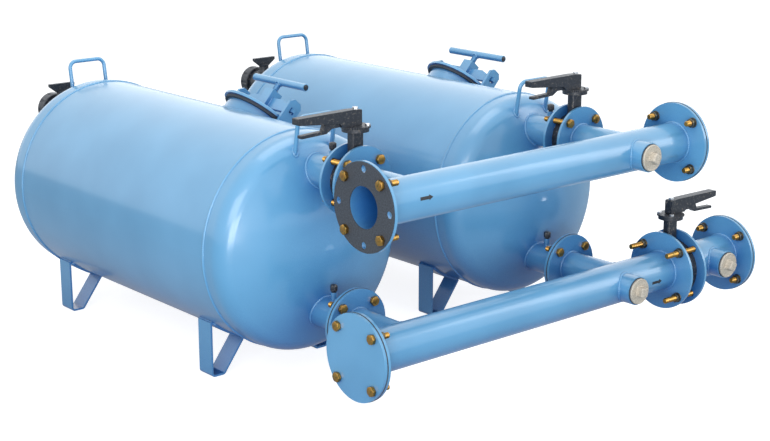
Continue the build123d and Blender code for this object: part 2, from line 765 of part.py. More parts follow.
# Flat rubber gaskets: the open inlet's, the three blinds' and the lower branches'
spool_end = facing_x(spool_end_x, lower_set_back, lower_z)
gasket_planes = [
    (facing_x(0), flange4_radius, bore4_radius, flange4_circle, inlet_hole_count),
    (facing_x(0, lower_set_back, lower_z), flange4_radius, bore4_radius, flange4_circle, flange_holes),
    (facing_x(manifold_end_x), flange4_radius, bore4_radius, flange4_circle, flange_holes),
    (spool_end, flange4_radius, bore4_radius, flange4_circle, flange_holes),
]
for tank, tank_x in tank_places:
    branch_face = facing_y(tank_x, lower_nozzle_y - gasket_thickness, lower_z)
    gasket_planes.append((branch_face, flange3_radius, bore3_radius, flange3_circle, flange_holes))
with BuildPart() as flange_gaskets:
    for plane, outer_radius, inner_radius, circle, count in gasket_planes:
        bar(plane, outer_radius - gasket_margin, gasket_thickness)
        bar(plane, inner_radius, gasket_thickness, Mode.SUBTRACT)
        bolt_holes(plane, circle, gasket_thickness, count)
flange_gaskets.part.label = "flange_gaskets"
export_step(flange_gaskets.part, "parts/flange_gaskets.step")

# Cast plugs in the side ports: a threaded plug, a round collar and a square wrench head
port_faces = (
    (port_x, -pipe4_radius - port_reach, 0.0),
    (port_x, lower_set_back - pipe4_radius - port_reach, lower_z),
    (spool_port_x, lower_set_back - pipe4_radius - port_reach, lower_z),
)
with BuildPart() as port_plugs:
    for face_x, face_y, face_z in port_faces:
        bar(facing_y(face_x, face_y - plug_thickness, face_z), plug_radius, plug_thickness)
        bar(facing_y(face_x, face_y, face_z), plug_bore - stem_play, plug_thread_depth)
        with BuildSketch(facing_y(face_x, face_y - plug_thickness - plug_square_height, face_z)):
            Rectangle(plug_square, plug_square)
        extrude(amount=plug_square_height)
port_plugs.part.label = "port_plugs"
export_step(port_plugs.part, "parts/port_plugs.step")

# Small knurled plugs that close the test points on the four nozzles
with BuildPart() as test_plugs:
    for tank, tank_x in tank_places:
        for nozzle_z in (0.0, lower_z):
            seat = facing_up(tank_x, test_plug_y, nozzle_z + pipe3_radius + test_socket_height)
            with BuildSketch(seat):
                RegularPolygon(test_plug_radius + test_plug_lobe, 6)
            extrude(amount=test_plug_height / 2)
            bar(seat, test_plug_radius, test_plug_height)
test_plugs.part.label = "test_plugs"
export_step(test_plugs.part, "parts/test_plugs.step")

# Bolts and nuts: plane under the heads, bolt circle, what they clamp and the tail left over
plain_grip = 2 * flange_thickness + gasket_thickness
blind_grip = flange_thickness + gasket_thickness + blind_thickness
inlet_grip = gasket_thickness + flange_thickness
valve3_grip = 2 * flange_thickness + valve3_width
valve4_grip = 2 * flange_thickness + valve4_width
upper_blind_back = manifold_end_x + gasket_thickness + blind_thickness
spool_blind_back = spool_end_x + gasket_thickness + blind_thickness
spool_flange_back = spool_start_x + flange_thickness
bolt_sets = [
    (facing_x(0), flange4_circle, inlet_grip, inlet_bolt_tail),
    (facing_x(-blind_thickness, lower_set_back, lower_z), flange4_circle, blind_grip, bolt_tail),
    (facing_back(upper_blind_back), flange4_circle, blind_grip, bolt_tail),
    (facing_back(spool_blind_back, lower_set_back, lower_z), flange4_circle, blind_grip, bolt_tail),
    (facing_back(spool_flange_back, lower_set_back, lower_z), flange4_circle, valve4_grip, outlet_bolt_tail),
]
for tank, tank_x in tank_places:
    upper_face = facing_y(tank_x, branch_length, 0)
    lower_face = facing_y(tank_x, lower_set_back + branch_length, lower_z)
    bolt_sets.append((upper_face, flange3_circle, valve3_grip, bolt_tail))
    bolt_sets.append((lower_face, flange3_circle, plain_grip, bolt_tail))
with BuildPart() as flange_bolts:
    for plane, circle, grip, tail in bolt_sets:
        bolt = hex_bolt(grip, tail)
        with Locations(plane):
            with PolarLocations(circle, flange_holes, start_angle=first_hole_angle):
                add(bolt)
flange_bolts.part.label = "flange_bolts"
export_step(flange_bolts.part, "parts/flange_bolts.step")

with BuildPart() as flange_nuts:
    for plane, circle, grip, tail in bolt_sets:
        nut = hex_nut(grip)
        with Locations(plane):
            with PolarLocations(circle, flange_holes, start_angle=first_hole_angle):
                add(nut)
flange_nuts.part.label = "flange_nuts"
export_step(flange_nuts.part, "parts/flange_nuts.step")

# Butterfly valves: where the disc's middle is, which way the pipe runs and the lever points
pipe3_valve = (pipe3_radius - pipe3_wall - valve_bore_step, valve3_width, flange3_circle, valve3_neck_rise)
pipe4_valve = (pipe4_radius - pipe4_wall - valve_bore_step, valve4_width, flange4_circle, valve4_neck_rise)
valve3_y = branch_length + flange_thickness + valve3_width / 2
outlet_middle = (manifold_end_x + valve4_width / 2, lower_set_back, lower_z)
valves = (
    ("tank1_valve", (first_tank_x, valve3_y, 0), facing_y, -1, pipe3_valve),
    ("tank2_valve", (first_tank_x + tank_pitch, valve3_y, 0), facing_y, -1, pipe3_valve),
    ("outlet_valve", outlet_middle, facing_x, 1, pipe4_valve),
)
for valve, middle, across, way, (bore, width, circle, neck_rise) in valves:
    ring_radius = circle - bolt_radius - ring_bolt_play
    neck_top_height = ring_radius + neck_rise
    notch_plate_bottom = neck_top_height + top_plate_thickness
    plate_top = notch_plate_bottom + notch_plate_thickness
    notch_plate_radius = top_plate_radius + notch_plate_margin
    flow_start = across(*middle).offset(-width / 2)
    upright = facing_up(*middle)

    with BuildPart() as valve_body:
        bar(flow_start, ring_radius, width)
        with BuildSketch(upright):
            RectangleRounded(2 * neck_half_x, 2 * neck_half_y, neck_half_y / 2)
        extrude(amount=neck_top_height)
        bar(upright.offset(neck_top_height), top_plate_radius, top_plate_thickness)
        bar(upright.offset(notch_plate_bottom), notch_plate_radius, notch_plate_thickness)
        first_notch = 180 if way < 0 else -90
        with Locations(upright.offset(notch_plate_bottom)):
            with PolarLocations(notch_plate_radius, notch_count, first_notch, 90):
                Cylinder(
                    notch_radius,
                    notch_plate_thickness,
                    align=(Align.CENTER, Align.CENTER, Align.MIN),
                    mode=Mode.SUBTRACT,
                )
        bar(flow_start, bore + liner_thickness, width, Mode.SUBTRACT)
        bar(upright, stem_radius + stem_play, plate_top, Mode.SUBTRACT)
    valve_body.part.label = f"{valve}_body"
    export_step(valve_body.part, f"parts/{valve}_body.step")

    liner_floor = upright.offset(-bore - liner_thickness)
    with BuildPart() as valve_liner:
        bar(flow_start, bore + liner_thickness, width)
        bar(flow_start, bore, width, Mode.SUBTRACT)
        bar(liner_floor, stem_radius + stem_play, plate_top + bore, Mode.SUBTRACT)
    valve_liner.part.label = f"{valve}_liner"
    export_step(valve_liner.part, f"parts/{valve}_liner.step")

    # The disc lies in the XZ plane at rest in all three, shut across Y or open along X
    disc_slab = facing_y(*middle).offset(-disc_thickness / 2)
    hub_reach = bore - disc_hub_inset
    stem_length = plate_top + bore + liner_thickness + stem_rise
    with BuildPart() as valve_disc:
        with Locations(middle):
            Sphere(bore - disc_play)
        bar(disc_slab, bore, disc_thickness, Mode.INTERSECT)
        bar(upright.offset(-hub_reach), stem_radius + disc_hub, 2 * hub_reach)
        bar(liner_floor.offset(stem_foot), stem_radius, stem_length)
    valve_disc.part.label = f"{valve}_disc"
    export_step(valve_disc.part, f"parts/{valve}_disc.step")

    # Lever: a channel open underneath, deep at the hub and slim at the tip
    lever_bottom = plate_top + lever_lift
    lever_plane = Plane(
        origin=Vector(*middle) + Vector(0, way * lever_half_width, lever_bottom),
        x_dir=(way, 0, 0),
        z_dir=(0, -way, 0),
    )
    tip_rise = lever_hub_height - lever_tip_height
    with BuildPart() as lever:
        with BuildSketch(lever_plane):
            with BuildLine():
                FilletPolyline(
                    (-lever_heel, 0),
                    (lever_waist_x, 0),
                    (lever_throat_x, tip_rise / 2),
                    (lever_reach, tip_rise),
                    (lever_reach, lever_hub_height),
                    (lever_crown_x, lever_hub_height + lever_crown),
                    (-lever_heel, lever_hub_height),
                    close=True,
                    radius=lever_wall,
                )
            make_face()
        extrude(amount=2 * lever_half_width)
        channel_start = lever_waist_x - lever_wall
        with BuildSketch(lever_plane.offset(lever_wall)):
            with BuildLine():
                Polyline(
                    (channel_start, -lever_wall),
                    (lever_reach - lever_wall, -lever_wall),
                    (lever_reach - lever_wall, lever_hub_height - lever_wall),
                    (channel_start, lever_hub_height - lever_wall),
                    close=True,
                )
            make_face()
        extrude(amount=2 * (lever_half_width - lever_wall), mode=Mode.SUBTRACT)
        bar(upright, stem_radius, plate_top + lever_socket, Mode.SUBTRACT)
        pivot = lever_plane.from_local_coords(Vector(trigger_pivot_x, tip_rise, 0))
        pin_plane = Plane(origin=pivot, x_dir=(1, 0, 0), z_dir=lever_plane.z_dir)
        bar(pin_plane, trigger_pin_radius, 2 * lever_half_width)
    lever.part.label = f"{valve}_lever"
    export_step(lever.part, f"parts/{valve}_lever.step")

    # Trigger: a bell crank on the lever's cross pin, with a tooth for the notches
    trigger_tooth_x = notch_plate_radius + trigger_tooth_gap
    trigger_plane = lever_plane.offset(lever_half_width - trigger_half_width)
    with BuildPart() as trigger:
        with BuildSketch(trigger_plane):
            with BuildLine():
                FilletPolyline(
                    (trigger_tooth_x, trigger_slope),
                    (trigger_tooth_x, tip_rise),
                    (trigger_pivot_x, tip_rise + trigger_crown),
                    (trigger_pivot_x + trigger_shoulder, tip_rise),
                    (trigger_pivot_x + trigger_elbow, trigger_grip + trigger_slope - trigger_drop),
                    (lever_reach - trigger_tip_inset, trigger_grip - trigger_drop),
                    (lever_reach - trigger_tip_inset, -trigger_drop),
                    (trigger_pivot_x + trigger_shoulder, trigger_slope - trigger_drop),
                    (trigger_pivot_x - trigger_shoulder / 2, trigger_round),
                    close=True,
                    radius=trigger_round,
                )
            make_face()
        extrude(amount=2 * trigger_half_width)
        bar(pin_plane, trigger_pin_radius + stem_play, 2 * lever_half_width, Mode.SUBTRACT)
    trigger.part.label = f"{valve}_trigger"
    export_step(trigger.part, f"parts/{valve}_trigger.step")
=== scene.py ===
import math
import bmesh
import bpy
import numpy as np
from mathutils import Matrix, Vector


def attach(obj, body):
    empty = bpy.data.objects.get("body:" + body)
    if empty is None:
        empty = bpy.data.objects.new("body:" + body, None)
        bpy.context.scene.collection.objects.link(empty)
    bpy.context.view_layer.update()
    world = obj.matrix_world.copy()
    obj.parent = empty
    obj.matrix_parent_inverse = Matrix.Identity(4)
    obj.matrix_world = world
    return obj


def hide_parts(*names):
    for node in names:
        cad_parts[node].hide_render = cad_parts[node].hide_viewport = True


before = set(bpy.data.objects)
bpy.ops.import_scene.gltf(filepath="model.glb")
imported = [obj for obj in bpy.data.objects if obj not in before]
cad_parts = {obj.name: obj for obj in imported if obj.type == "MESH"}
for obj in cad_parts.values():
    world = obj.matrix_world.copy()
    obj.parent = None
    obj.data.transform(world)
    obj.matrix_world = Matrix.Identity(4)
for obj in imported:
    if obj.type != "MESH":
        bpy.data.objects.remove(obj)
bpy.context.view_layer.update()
print("frame loaded:", len(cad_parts), "nodes")

# Millimetres in the part's own frame, as its solids have them
mm = {
    "tankX": {"tank1": 165.0, "tank2": 985.0},
    "tankZ": -210.0,
    "tankRadius": 303.0,
    "shellFrontY": 491.0,
    "shellRearY": 1470.0,
    "skirt": 35.0,
    "crownRadius": 606.0,
    "knuckleRadius": 60.6,
    "pipe3Radius": 44.45,
    "pipe4Radius": 57.15,
    "flange3Radius": 95.25,
    "flange4Radius": 114.3,
    "flange3Circle": 76.2,
    "flange4Circle": 95.25,
    "flangeThickness": 8.0,
    "blindThickness": 8.0,
    "gasket": 3.0,
    "lowerY": 24.0,
    "lowerZ": -388.0,
    "branchLength": 198.0,
    "manifoldEndX": 1163.0,
    "spoolStartX": 1217.0,
    "spoolEndX": 1446.0,
    "portX": 948.0,
    "spoolPortX": 1348.0,
    "portRadius": 41.0,
    "portFace": 91.15,
    "upperNozzleY": 252.0,
    "lowerNozzleY": 233.0,
    "testPlugY": 322.0,
    "testSocketRadius": 9.0,
    "testSocketTop": 64.45,
    "manholeY": 951.5,
    "manholeTilt": 42.0,
    "neckRadius": 102.0,
    "earSpread": 127.0,
    "earHalfThickness": 5.5,
    "earHalfWidth": 26.0,
    "bridgeBottom": 358.0,
    "bossHalf": 20.0,
    "screwTip": 345.4,
    "tubeHeight": 452.0,
    "tubeHalf": 126.0,
    "legRows": (640.0, 1410.0),
    "saddleHalfWidth": 30.6,
    "saddleArc": (-50.0, -71.0),
    "bowInset": 88.0,
    "bowHalf": 61.0,
    "bowLean": 9.0,
    "bowFoot": 264.0,
    "drainZ": -40.0,
    "drainMiddleY": 1743.094,
    "stubRadius": 30.15,
    "notchPlateTop3": 145.2,
    "notchPlateTop4": 166.25,
    "valve3Width": 46.0,
    "valve4Width": 54.0,
    "floorZ": -600.0,
}
rootBody = "filter_frame"


def toLinear(hexColour):
    # an sRGB hex value turned to the linear colour a shader takes
    values = [int(hexColour[i:i + 2], 16) / 255 for i in (1, 3, 5)]
    return [v / 12.92 if v <= 0.04045 else ((v + 0.055) / 1.055) ** 2.4 for v in values] + [1.0]


def addNode(tree, kind, settings=None, inputs=None):
    # a node with its settings, and each input set to a value or linked to another node's output
    node = tree.nodes.new(kind)
    for key, value in (settings or {}).items():
        setattr(node, key, value)
    for key, value in (inputs or {}).items():
        if isinstance(value, bpy.types.NodeSocket):
            tree.links.new(value, node.inputs[key])
        else:
            node.inputs[key].default_value = value
    return node


def startMaterial(name):
    # an empty material, its node tree and the place on the object that patterns follow
    material = bpy.data.materials.new(name)
    material.use_nodes = True
    tree = material.node_tree
    tree.nodes.clear()
    return material, tree, tree.nodes.new("ShaderNodeTexCoord").outputs["Object"]


def finishMaterial(material, inputs):
    # one principled shader carries the look
    tree = material.node_tree
    shader = addNode(tree, "ShaderNodeBsdfPrincipled", inputs=inputs)
    addNode(tree, "ShaderNodeOutputMaterial", inputs={"Surface": shader.outputs["BSDF"]})
    return material


def noise(tree, place, size, detail, roughness=0.5):
    # a soft random pattern, its blotches about a size in millimetres
    texture = addNode(tree, "ShaderNodeTexNoise", inputs={
        "Vector": place, "Scale": 1000 / size, "Detail": detail, "Roughness": roughness})
    return texture.outputs["Fac"]


def relief(tree, height, strength, depth, base=None):
    # shading relief of a depth in millimetres, over another normal where one is given
    bump = addNode(tree, "ShaderNodeBump", inputs={
        "Height": height, "Strength": strength, "Distance": depth / 1000})
    if base is not None:
        tree.links.new(base, bump.inputs["Normal"])
    return bump.outputs["Normal"]


def roundedEdge(tree, radius):
    # the normal of edges rounded by a radius in millimetres
    return addNode(tree, "ShaderNodeBevel", {"samples": 4}, {"Radius": radius / 1000}).outputs["Normal"]


def colourRamp(tree, factor, stops):
    # stops are position and sRGB hex pairs
    ramp = addNode(tree, "ShaderNodeValToRGB", inputs={"Fac": factor})
    elements = ramp.color_ramp.elements
    while len(elements) < len(stops):
        elements.new(0.5)
    for element, (position, colour) in zip(elements, stops):
        element.position = position
        element.color = toLinear(colour)
    return ramp.outputs["Color"]


enamelLook = {
    "base": "#5E9DC6",
    "deep": "#5998C1",
    "pale": "#64A3CC",
    "cloudSize": 180.0,   # mm, slow drift of the sprayed coat's thickness
    "peelSize": 3.5,      # mm, orange peel, drawn a little coarser than real to show
    "peelDepth": 0.05,
    "waveSize": 40.0,     # mm, plate not quite flat under the paint
    "waveDepth": 0.35,
    "edgeRound": 1.8,     # mm, paint drawn round every sharp plate edge
    "paintedShade": "#3A8CCB",  # painted shade: a deeper blue multiplied into bores and between the tanks
    # how far, in mm, the painted shade's occlusion reaches
    "paintedShadeReach": 420.0,
    "roughness": 0.4,
    "gloss": 0.8,
    "glossRoughness": 0.16,
}


def makeEnamel(look):
    # gloss enamel sprayed on steel: even blue, clear reflections, soft edges and faint orange peel, with
    # painted shade darkening bores and the gap between the tanks
    material, tree, place = startMaterial("glossEnamel")
    colour = colourRamp(tree, noise(tree, place, look["cloudSize"], 2.0, 0.4), [
        (0.3, look["deep"]), (0.5, look["base"]), (0.72, look["pale"])])
    # painted shade: ambient occlusion darkens the blue in bores, recesses and between the tanks
    paintedShade = addNode(tree, "ShaderNodeAmbientOcclusion", {"samples": 6}, {
        "Distance": look["paintedShadeReach"] / 1000})
    paintedShadeRamp = colourRamp(tree, paintedShade.outputs["AO"], [(0.1, look["paintedShade"]), (0.7, "#FFFFFF")])
    colourWithPaintedShade = addNode(tree, "ShaderNodeMix", {"data_type": "RGBA", "blend_type": "MULTIPLY"}, {
        0: 1.0, 6: colour, 7: paintedShadeRamp})
    waves = relief(tree, noise(tree, place, look["waveSize"], 1.0), 0.25, look["waveDepth"],
                   roundedEdge(tree, look["edgeRound"]))
    peel = relief(tree, noise(tree, place, look["peelSize"], 1.0), 0.3, look["peelDepth"], waves)
    return finishMaterial(material, {
        "Base Color": colourWithPaintedShade.outputs[2], "Roughness": look["roughness"], "IOR": 1.5,
        "Coat Weight": look["gloss"], "Coat Roughness": look["glossRoughness"], "Normal": peel})


rubberLook = {
    "dark": "#2C3036",
    "pale": "#474C54",
    "speckSize": 4.0,
    "grainSize": 1.6,
    "grainDepth": 0.2,
    "roughness": 0.72,
}


def makeRubber(look):
    # cut sheet rubber: matt blue-black with a dusty bloom
    material, tree, place = startMaterial("sheetRubber")
    bloom = noise(tree, place, look["speckSize"], 4.0, 0.65)
    return finishMaterial(material, {
        "Base Color": colourRamp(tree, bloom, [(0.35, look["dark"]), (0.7, look["pale"])]),
        "Roughness": look["roughness"],
        "Normal": relief(tree, noise(tree, place, look["grainSize"], 2.0), 0.5, look["grainDepth"])})


nylonLook = {
    "dark": "#0E131C",
    "mid": "#1F242D",
    "pale": "#857A6C",
    "fibreSize": 8.0,     # mm, drawn coarser than the real glass fibre so that it shows
    "grainSize": 1.2,
    "grainDepth": 0.25,
    "edgeRound": 1.0,
    "roughness": 0.42,
}


def makeNylon(look):
    # moulded glass-filled nylon: black, with a greyish fibre bloom whose pale patches are partly painted
    # sheen standing in for highlights
    material, tree, place = startMaterial("glassFilledNylon")
    fibreBloomAndSheen = noise(tree, place, look["fibreSize"], 6.0, 0.75)
    grain = relief(tree, noise(tree, place, look["grainSize"], 3.0), 0.5, look["grainDepth"],
                   roundedEdge(tree, look["edgeRound"]))
    return finishMaterial(material, {
        # the pale stop is partly real fibre bloom and partly painted highlight
        "Base Color": colourRamp(tree, fibreBloomAndSheen, [
            (0.4, look["dark"]), (0.56, look["mid"]), (0.7, look["pale"])]),
        "Roughness": look["roughness"], "IOR": 1.53, "Normal": grain})


zincLook = {
    "gold": "#A8803F",
    "olive": "#73643C",
    "rose": "#8F6A44",
    "hueSize": 9.0,
    "scratchSize": 1.5,
    "scratchDepth": 0.08,
    "roughness": 0.34,
}


def makeZinc(look):
    # yellow chromate on zinc plate: gold with olive and rose patches, satin metal
    material, tree, place = startMaterial("yellowZincPlate")
    hue = noise(tree, place, look["hueSize"], 3.0, 0.6)
    scratch = noise(tree, place, look["scratchSize"], 2.0)
    return finishMaterial(material, {
        "Base Color": colourRamp(tree, hue, [
            (0.34, look["olive"]), (0.5, look["gold"]), (0.68, look["rose"])]),
        "Metallic": 1.0, "Roughness": look["roughness"],
        "Normal": relief(tree, scratch, 0.4, look["scratchDepth"])})


castLook = {
    "pale": "#E2D9CA",
    "mid": "#C2B8A8",
    "dark": "#8E8476",
    "sandSize": 2.5,
    "sandDepth": 0.45,
    "roughness": 0.55,
}


def makeCast(look):
    # galvanised malleable iron: silver grey, rough from the sand mould
    material, tree, place = startMaterial("galvanisedCasting")
    sand = noise(tree, place, look["sandSize"], 5.0, 0.7)
    return finishMaterial(material, {
        "Base Color": colourRamp(tree, sand, [
            (0.3, look["dark"]), (0.5, look["mid"]), (0.68, look["pale"])]),
        "Metallic": 0.3, "Roughness": look["roughness"],
        "Normal": relief(tree, sand, 0.6, look["sandDepth"])})


def makePlain(name, look):
    # two close colours that drift into each other, under an even finish
    material, tree, place = startMaterial(name)
    drift = noise(tree, place, look["driftSize"], look["detail"], look["fineness"])
    return finishMaterial(material, {
        "Base Color": colourRamp(tree, drift, look["stops"]), "Metallic": look["metallic"],
        "Roughness": look["roughness"]})


# moulded polypropylene: milky white with faint flow marks
plasticLook = {
    "stops": ((0.4, "#D5D8D6"), (0.6, "#E4E6E4")),
    "driftSize": 20.0,
    "detail": 2.0,
    "fineness": 0.5,
    "metallic": 0.0,
    "roughness": 0.4,
}
# stencilled marking paint: flat black, a little thin in places
inkLook = {
    "stops": ((0.4, "#1B1C1F"), (0.65, "#2C2E33")),
    "driftSize": 6.0,
    "detail": 3.0,
    "fineness": 0.5,
    "metallic": 0.0,
    "roughness": 0.6,
}
# the nuts' plating gone dull and grey, with a little bronze left in patches
nutLook = {
    "stops": ((0.4, "#4E5052"), (0.6, "#6E6248")),
    "driftSize": 8.0,
    "detail": 3.0,
    "fineness": 0.6,
    "metallic": 1.0,
    "roughness": 0.4,
}
# bright zinc plate on small screws: light grey metal, slightly uneven
steelLook = {
    "stops": ((0.35, "#AEB0B3"), (0.65, "#D9DADC")),
    "driftSize": 3.0,
    "detail": 3.0,
    "fineness": 0.5,
    "metallic": 1.0,
    "roughness": 0.3,
}


enamel = makeEnamel(enamelLook)
rubber = makeRubber(rubberLook)
nylon = makeNylon(nylonLook)
zinc = makeZinc(zincLook)
casting = makeCast(castLook)
plastic = makePlain("polypropylene", plasticLook)
ink = makePlain("stencilPaint", inkLook)
steel = makePlain("brightZincPlate", steelLook)
nutZinc = makePlain("dullZincPlate", nutLook)
print("materials made")

# Words in a node's name and its material; all other nodes are enamelled
finishOf = [
    (("gasket", "liner"), rubber),
    (("drain_body", "drain_handle", "valve_body", "lever", "trigger", "test_plugs"), nylon),
    (("flange_bolts", "flange_nuts"), zinc),
    (("port_plugs",), casting),
    (("underdrain", "drain_ball"), plastic),
    (("valve_disc",), steel),
    (("screw_foot",), zinc),
]
for nodeName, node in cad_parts.items():
    finish = enamel
    for words, material in finishOf:
        if any(word in nodeName for word in words):
            finish = material
    node.data.materials.clear()
    node.data.materials.append(finish)
print("solids painted")


def gridFaces(rows, columns, closedRows=False, closedColumns=False):
    # quads between neighbouring rows and columns of a grid, wrapped round where it is closed
    row = np.arange(rows if closedRows else rows - 1)
    column = np.arange(columns if closedColumns else columns - 1)
    row, column = np.meshgrid(row, column, indexing="ij")
    nextRow, nextColumn = (row + 1) % rows, (column + 1) % columns
    corners = [row * columns + column, nextRow * columns + column,
               nextRow * columns + nextColumn, row * columns + nextColumn]
    return np.stack(corners, -1).reshape(-1, 4)


def turnedAngles(steps):
    return np.linspace(0, 2 * np.pi, steps, endpoint=False)


def ringSurface(radius, angle, height):
    # rings round the local z axis, one row each: radii for every angle and a column of heights
    points = np.stack([radius * np.cos(angle), radius * np.sin(angle), height + 0 * angle], -1)
    return points.reshape(-1, 3), gridFaces(*points.shape[:2], closedColumns=True)


def lathe(radii, heights, steps=48):
    # each profile point, a radius and a height, carried round the local z axis
    radii, heights = np.asarray(radii, float)[:, None], np.asarray(heights, float)[:, None]
    return ringSurface(radii, turnedAngles(steps), heights)


# Local x, y and z in the part's frame, for a thing whose own axis runs along x, y or z
facings = {
    "x": np.array([[0, 1, 0], [0, 0, 1], [1, 0, 0]], float),
    "y": np.array([[-1, 0, 0], [0, 0, 1], [0, 1, 0]], float),
    "z": np.eye(3),
}


def placed(surface, origin, axes):
    # local points turned on to three axes and moved to a place
    points, faces = surface
    return points @ axes + np.asarray(origin, float), faces


def spun(surface, degrees):
    # local points turned about the local z axis
    points, faces = surface
    c, s = math.cos(math.radians(degrees)), math.sin(math.radians(degrees))
    return points @ np.array([[c, s, 0], [-s, c, 0], [0, 0, 1]]), faces


def makePiece(name, surfaces, material, body=rootBody, replaced=(), sharpAngle=35.0):
    # joins surfaces into one mesh in metres, merges its doubles and turns its faces outwards
    points = np.vstack([s[0] for s in surfaces]) / 1000
    starts = np.cumsum([0] + [len(s[0]) for s in surfaces[:-1]])
    faces = np.vstack([s[1] + start for s, start in zip(surfaces, starts)])
    mesh = bpy.data.meshes.new(name)
    mesh.vertices.add(len(points))
    mesh.vertices.foreach_set("co", points.astype(np.float32).ravel())
    mesh.loops.add(faces.size)
    mesh.loops.foreach_set("vertex_index", faces.astype(np.int32).ravel())
    mesh.polygons.add(len(faces))
    mesh.polygons.foreach_set("loop_start", np.arange(len(faces), dtype=np.int32) * 4)
    mesh.update(calc_edges=True)
    tidy = bmesh.new()
    tidy.from_mesh(mesh)
    bmesh.ops.remove_doubles(tidy, verts=tidy.verts, dist=2e-6)
    bmesh.ops.recalc_face_normals(tidy, faces=tidy.faces)
    tidy.to_mesh(mesh)
    tidy.free()
    mesh.polygons.foreach_set("use_smooth", np.ones(len(mesh.polygons), bool))
    mesh.set_sharp_from_angle(angle=math.radians(sharpAngle))
    mesh.materials.append(material)
    piece = bpy.data.objects.new(name, mesh)
    bpy.context.scene.collection.objects.link(piece)
    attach(piece, body)
    if replaced:
        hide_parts(*replaced)
    return piece


boltLook = {
    "radius": 8.0,
    "pitch": 2.0,
    "threadDepth": 1.1,
    "headFlat": 12.0,       # half the width across flats
    "headHeight": 10.0,
    "nutHeight": 13.0,
    "washerHeight": 2.5,
    "washerRadius": 14.5,
    "washerEdge": 0.5,
    "shankLength": 6.0,     # plain part under the head
    "tail": 18.0,
    "inletTail": 26.0,
    "outletTail": 45.0,
    "chamferShare": 0.95,
    "chamferSlope": 1.8,
    "seed": 7,
}


def hexagonBlock(halfFlat, bottom, top, boreRadius=0.0, steps=48):
    # the radius is a hexagon's, cut down near its ends by a cone; the end faces close on the bore
    angle = turnedAngles(steps)
    hexRadius = halfFlat / np.cos((angle + np.pi / 6) % (np.pi / 3) - np.pi / 6)
    inset = np.array([0, 0.3, 0.6, 0.9, 1.25])
    heights = np.concatenate([bottom + inset, top - inset[::-1]])
    depth = np.concatenate([inset, inset[::-1]])
    cone = boltLook["chamferShare"] * halfFlat + boltLook["chamferSlope"] * depth
    radius = np.minimum(hexRadius[None], cone[:, None])
    radius = np.vstack([radius[:1] * 0 + boreRadius, radius, radius[:1] * 0 + boreRadius])
    heights = np.concatenate([[bottom], heights, [top]])
    return ringSurface(radius, angle, heights[:, None])


def threadedBar(radius, pitch, depth, start, end, steps=20, bevel=1.6):
    # the radius falls by a triangle wave of the height plus one pitch per turn, and the tip is bevelled
    rows = int((end - start) / pitch * 4) + 1
    height = np.linspace(start, end, rows)[:, None]
    angle = turnedAngles(steps)
    wave = 2 * np.abs((height / pitch - angle / (2 * np.pi)) % 1 - 0.5)
    profile = np.minimum(radius - depth * wave, radius - bevel + (end - height))
    profile = np.vstack([0 * angle, profile, 0 * angle])
    return ringSurface(profile, angle, np.vstack([[[start]], height, [[end]]]))


def flangeJoints():
    # each bolted joint: face under the heads, axis, way the shanks point, circle, grip and tail
    t, g, b = mm["flangeThickness"], mm["gasket"], mm["blindThickness"]
    low = (mm["lowerY"], mm["lowerZ"])
    blind = t + g + b
    long3, long4 = 2 * t + mm["valve3Width"], 2 * t + mm["valve4Width"]
    tail, c3, c4 = boltLook["tail"], mm["flange3Circle"], mm["flange4Circle"]
    joints = [
        ((0, 0, 0), "x", 1, c4, t + g, boltLook["inletTail"]),
        ((-b, *low), "x", 1, c4, blind, tail),
        ((mm["manifoldEndX"] + g + b, 0, 0), "x", -1, c4, blind, tail),
        ((mm["spoolEndX"] + g + b, *low), "x", -1, c4, blind, tail),
        ((mm["spoolStartX"] + t, *low), "x", -1, c4, long4, boltLook["outletTail"]),
    ]
    for x in mm["tankX"].values():
        joints.append(((x, mm["branchLength"], 0), "y", 1, c3, long3, tail))
        joints.append(((x, mm["lowerY"] + mm["branchLength"], mm["lowerZ"]), "y", 1, c3, 2 * t + g, tail))
    return joints


def boltSurfaces(look, grip, end, twist, nutTwist):
    # head, shank and thread of one bolt, and its nut with a washer, along local z
    shankEnd = min(grip, look["shankLength"])
    bolt = [
        hexagonBlock(look["headFlat"], -look["headHeight"], 0.0),
        lathe([0, look["radius"] - 0.2, look["radius"] - 0.2, 0], [-1, -1, shankEnd, shankEnd], 20),
        threadedBar(look["radius"], look["pitch"], look["threadDepth"], shankEnd - 1, end),
    ]
    washerTop = grip + look["washerHeight"]
    edge = look["washerEdge"]
    wide = look["washerRadius"]
    nut = [
        hexagonBlock(look["headFlat"], washerTop, grip + look["nutHeight"], look["radius"] - 0.6),
        lathe([look["radius"], wide - edge, wide, wide, wide - edge, look["radius"]],
              [grip, grip, grip + edge, washerTop - edge, washerTop, washerTop], 32),
    ]
    return [spun(part, twist) for part in bolt], [spun(part, nutTwist) for part in nut]


def makeFasteners(look):
    bolts, nuts = [], []
    chance = np.random.default_rng(look["seed"])
    for face, run, way, circle, grip, tail in flangeJoints():
        axes = facings[run] * np.array([[way], [1], [way]])
        for turn in (45, 135, 225, 315):
            a = math.radians(turn)
            spot = np.array([circle * math.cos(a), circle * math.sin(a), 0]) @ facings[run]
            place = np.asarray(face, float) + spot
            twist, nutTwist = chance.uniform(0, 60, 2)
            bolt, nut = boltSurfaces(look, grip, grip + look["nutHeight"] + tail, twist, nutTwist)
            bolts += [placed(part, place, axes) for part in bolt]
            nuts += [placed(part, place, axes) for part in nut]
    makePiece("hexBolts", bolts, zinc, replaced=("flange_bolts",))
    makePiece("hexNuts", nuts, nutZinc, replaced=("flange_nuts",))


makeFasteners(boltLook)
print("bolts and nuts made")


